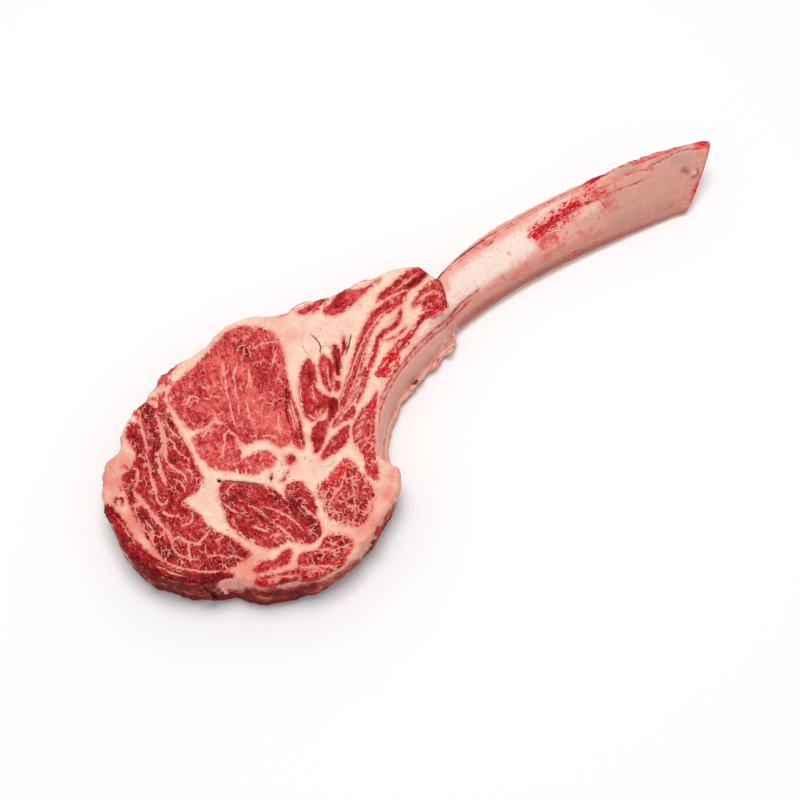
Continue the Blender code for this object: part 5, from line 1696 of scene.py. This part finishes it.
class BoneSettings(bpy.types.PropertyGroup):
    """Grid and colours of the rib"""
    rings: IntProperty(name="Rings", description="Number of rings along the rib", subtype="UNSIGNED",
                       default=420, min=40, max=800)
    sides: IntProperty(name="Sides", description="Number of corners in each ring", subtype="UNSIGNED",
                       default=120, min=12, max=240)
    cream: swatch("Cream", "Cleanest bone", 253, 226, 213)
    salmon: swatch("Salmon", "Thin tissue over the bone", 238, 168, 153)
    tan: swatch("Tan", "Far end of the bone", 208, 152, 134)
    # Colour of the painted shade along the bone's lower edge and round its knob
    painted_shade: swatch("Painted shade", "Painted shade along the lower edge and round the knob", 172, 98, 88)
    rose: swatch("Rose", "Rosy smears", 222, 88, 86)
    grey: swatch("Grey", "Greyish membrane", 178, 146, 136)
    blood: swatch("Blood", "Blood in the scraped patch", 224, 12, 24)
    clot: swatch("Clot", "Dark threads in the blood", 122, 4, 16)
    line: swatch("Lines", "Red lines and grooves", 172, 36, 42)
    marrow: swatch("Marrow", "Red marrow of the sawn end", 150, 52, 44)


class StageSettings(bpy.types.PropertyGroup):
    """Floor, light and lens"""
    floor_colour: swatch("Floor", "Colour of the floor", 247, 247, 247)
    sky: FloatProperty(name="Sky strength", description="Strength of the even light from all round",
                       default=0.56, min=0.0, max=2.0, subtype="FACTOR")
    key: FloatProperty(name="Key power", description="Power of the large light overhead", unit="POWER",
                       default=14.6, min=0.0)
    lens: FloatProperty(name="Lens", description="Focal length", unit="CAMERA", default=70.0, min=1.0)


class STEAK_OT_meat(bpy.types.Operator):
    """Builds the slab of meat with its muscles, fat and flesh under the rib"""
    bl_idname = "steak.meat"
    bl_label = "Meat"

    def execute(self, context):
        look = context.scene.steak_meat
        surface = meat_surface(look.spacing / MM, look.rise / MM)
        meat = add_piece("meat_cut", "raw_meat", meat_material(look), *surface)
        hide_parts("meat")
        return {"FINISHED"}


class STEAK_OT_meat_scraps(bpy.types.Operator):
    """Adds the clots, scraps and shreds that stick to the meat"""
    bl_idname = "steak.meat_scraps"
    bl_label = "Meat scraps"

    def execute(self, context):
        material = scrap_material("Meat scraps", context.scene.steak_meat)
        add_piece("meat_scraps", "raw_meat", material, *strands(MEAT_SCRAPS, 0.6))
        return {"FINISHED"}


class STEAK_OT_membrane(bpy.types.Operator):
    """Adds the strands of membrane that stick to the rib"""
    bl_idname = "steak.membrane"
    bl_label = "Membrane"

    def execute(self, context):
        table = [(tint, wide, thick, on_bone(path)) for tint, wide, thick, path in BONE_STRANDS]
        material = scrap_material("Membrane", context.scene.steak_meat)
        add_piece("bone_membrane", "rib_bone", material, *strands(table, 0.25))
        return {"FINISHED"}


class STEAK_OT_rib_bone(bpy.types.Operator):
    """Builds the long scraped rib bone"""
    bl_idname = "steak.rib_bone"
    bl_label = "Rib bone"

    def execute(self, context):
        look = context.scene.steak_bone
        surface = bone_surface(look.rings, look.sides)
        bone = add_piece("bone_scraped", "rib_bone", bone_material(look), *surface)
        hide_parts("rib_bone")
        return {"FINISHED"}


def add_camera(lens):
    """Camera above the front left, turned as its three directions say."""
    scene = bpy.context.scene
    camera = bpy.data.objects.new("camera", bpy.data.cameras.new("camera"))
    scene.collection.objects.link(camera)
    level, across, ahead = math.cos(CAMERA_TILT), math.sin(CAMERA_HEADING), math.cos(CAMERA_HEADING)
    forward = Vector((level * across, level * ahead, -math.sin(CAMERA_TILT)))
    right = Vector((ahead, -across, 0.0))
    turned = Matrix((right, right.cross(forward), -forward)).transposed()
    camera.matrix_world = Matrix.Translation(CAMERA_PLACE) @ turned.to_4x4()
    camera.data.lens = lens
    camera.data.sensor_width = SENSOR_WIDTH
    camera.data.clip_end = 20.0
    scene.camera = camera


def add_area_light(name, place, aim, size, power):
    """Square soft light at a place, turned towards its aim."""
    data = bpy.data.lights.new(name, "AREA")
    data.shape = "SQUARE"
    data.size = size
    data.energy = power
    light = bpy.data.objects.new(name, data)
    light.location = place
    light.rotation_euler = (Vector(aim) - Vector(place)).to_track_quat("-Z", "Y").to_euler()
    bpy.context.scene.collection.objects.link(light)


class STEAK_OT_stage(bpy.types.Operator):
    """Adds the camera, the pale floor and soft studio light"""
    bl_idname = "steak.stage"
    bl_label = "Stage"

    def execute(self, context):
        look = context.scene.steak_stage
        add_camera(look.lens)
        mesh = bpy.data.meshes.new("floor")
        corners = [(FLOOR_HALF * x, FLOOR_HALF * y, 0.0) for x, y in ((-1, -1), (1, -1), (1, 1), (-1, 1))]
        mesh.from_pydata(corners, [], [(0, 1, 2, 3)])
        floor = bpy.data.objects.new("floor", mesh)
        floor.data.materials.append(floor_material(look))
        context.scene.collection.objects.link(floor)
        add_area_light("overhead", LIGHT_PLACE, LIGHT_AIM, LIGHT_SIZE, look.key)
        world = bpy.data.worlds.new("soft sky")
        world.use_nodes = True
        sky = world.node_tree.nodes["Background"]
        sky.inputs["Color"].default_value = (1.0, 1.0, 1.0, 1.0)
        sky.inputs["Strength"].default_value = look.sky
        context.scene.world = world
        context.scene.view_settings.view_transform = "Standard"
        return {"FINISHED"}


class STEAK_PT_panel(bpy.types.Panel):
    """Lists the steak's settings and the buttons that build it"""
    bl_idname = "STEAK_PT_panel"
    bl_label = "Raw tomahawk steak"
    bl_space_type = "VIEW_3D"
    bl_region_type = "UI"
    bl_category = "Steak"

    def draw(self, context):
        scene = context.scene
        for operators, settings in ((("steak.meat", "steak.meat_scraps"), scene.steak_meat),
                                    (("steak.rib_bone", "steak.membrane"), scene.steak_bone),
                                    (("steak.stage",), scene.steak_stage)):
            box = self.layout.box()
            for operator in operators:
                box.operator(operator)
            for name in settings.bl_rna.properties.keys():
                if name not in ("rna_type", "name"):
                    box.prop(settings, name)


CLASSES = (MeatSettings, BoneSettings, StageSettings, STEAK_OT_meat, STEAK_OT_meat_scraps,
           STEAK_OT_rib_bone, STEAK_OT_membrane, STEAK_OT_stage, STEAK_PT_panel)
SETTINGS = {"steak_meat": MeatSettings, "steak_bone": BoneSettings, "steak_stage": StageSettings}


def register():
    """Makes the classes known and gives each scene its settings."""
    for made in CLASSES:
        bpy.utils.register_class(made)
    for name, group in SETTINGS.items():
        setattr(bpy.types.Scene, name, PointerProperty(type=group))


def unregister():
    """Takes the settings and the classes away again."""
    for name in SETTINGS:
        delattr(bpy.types.Scene, name)
    for made in reversed(CLASSES):
        bpy.utils.unregister_class(made)


def main():
    """Builds the stage and every piece."""
    register()
    bpy.ops.steak.stage()
    bpy.ops.steak.meat()
    bpy.ops.steak.meat_scraps()
    bpy.ops.steak.rib_bone()
    bpy.ops.steak.membrane()


if __name__ == "__main__":
    main()
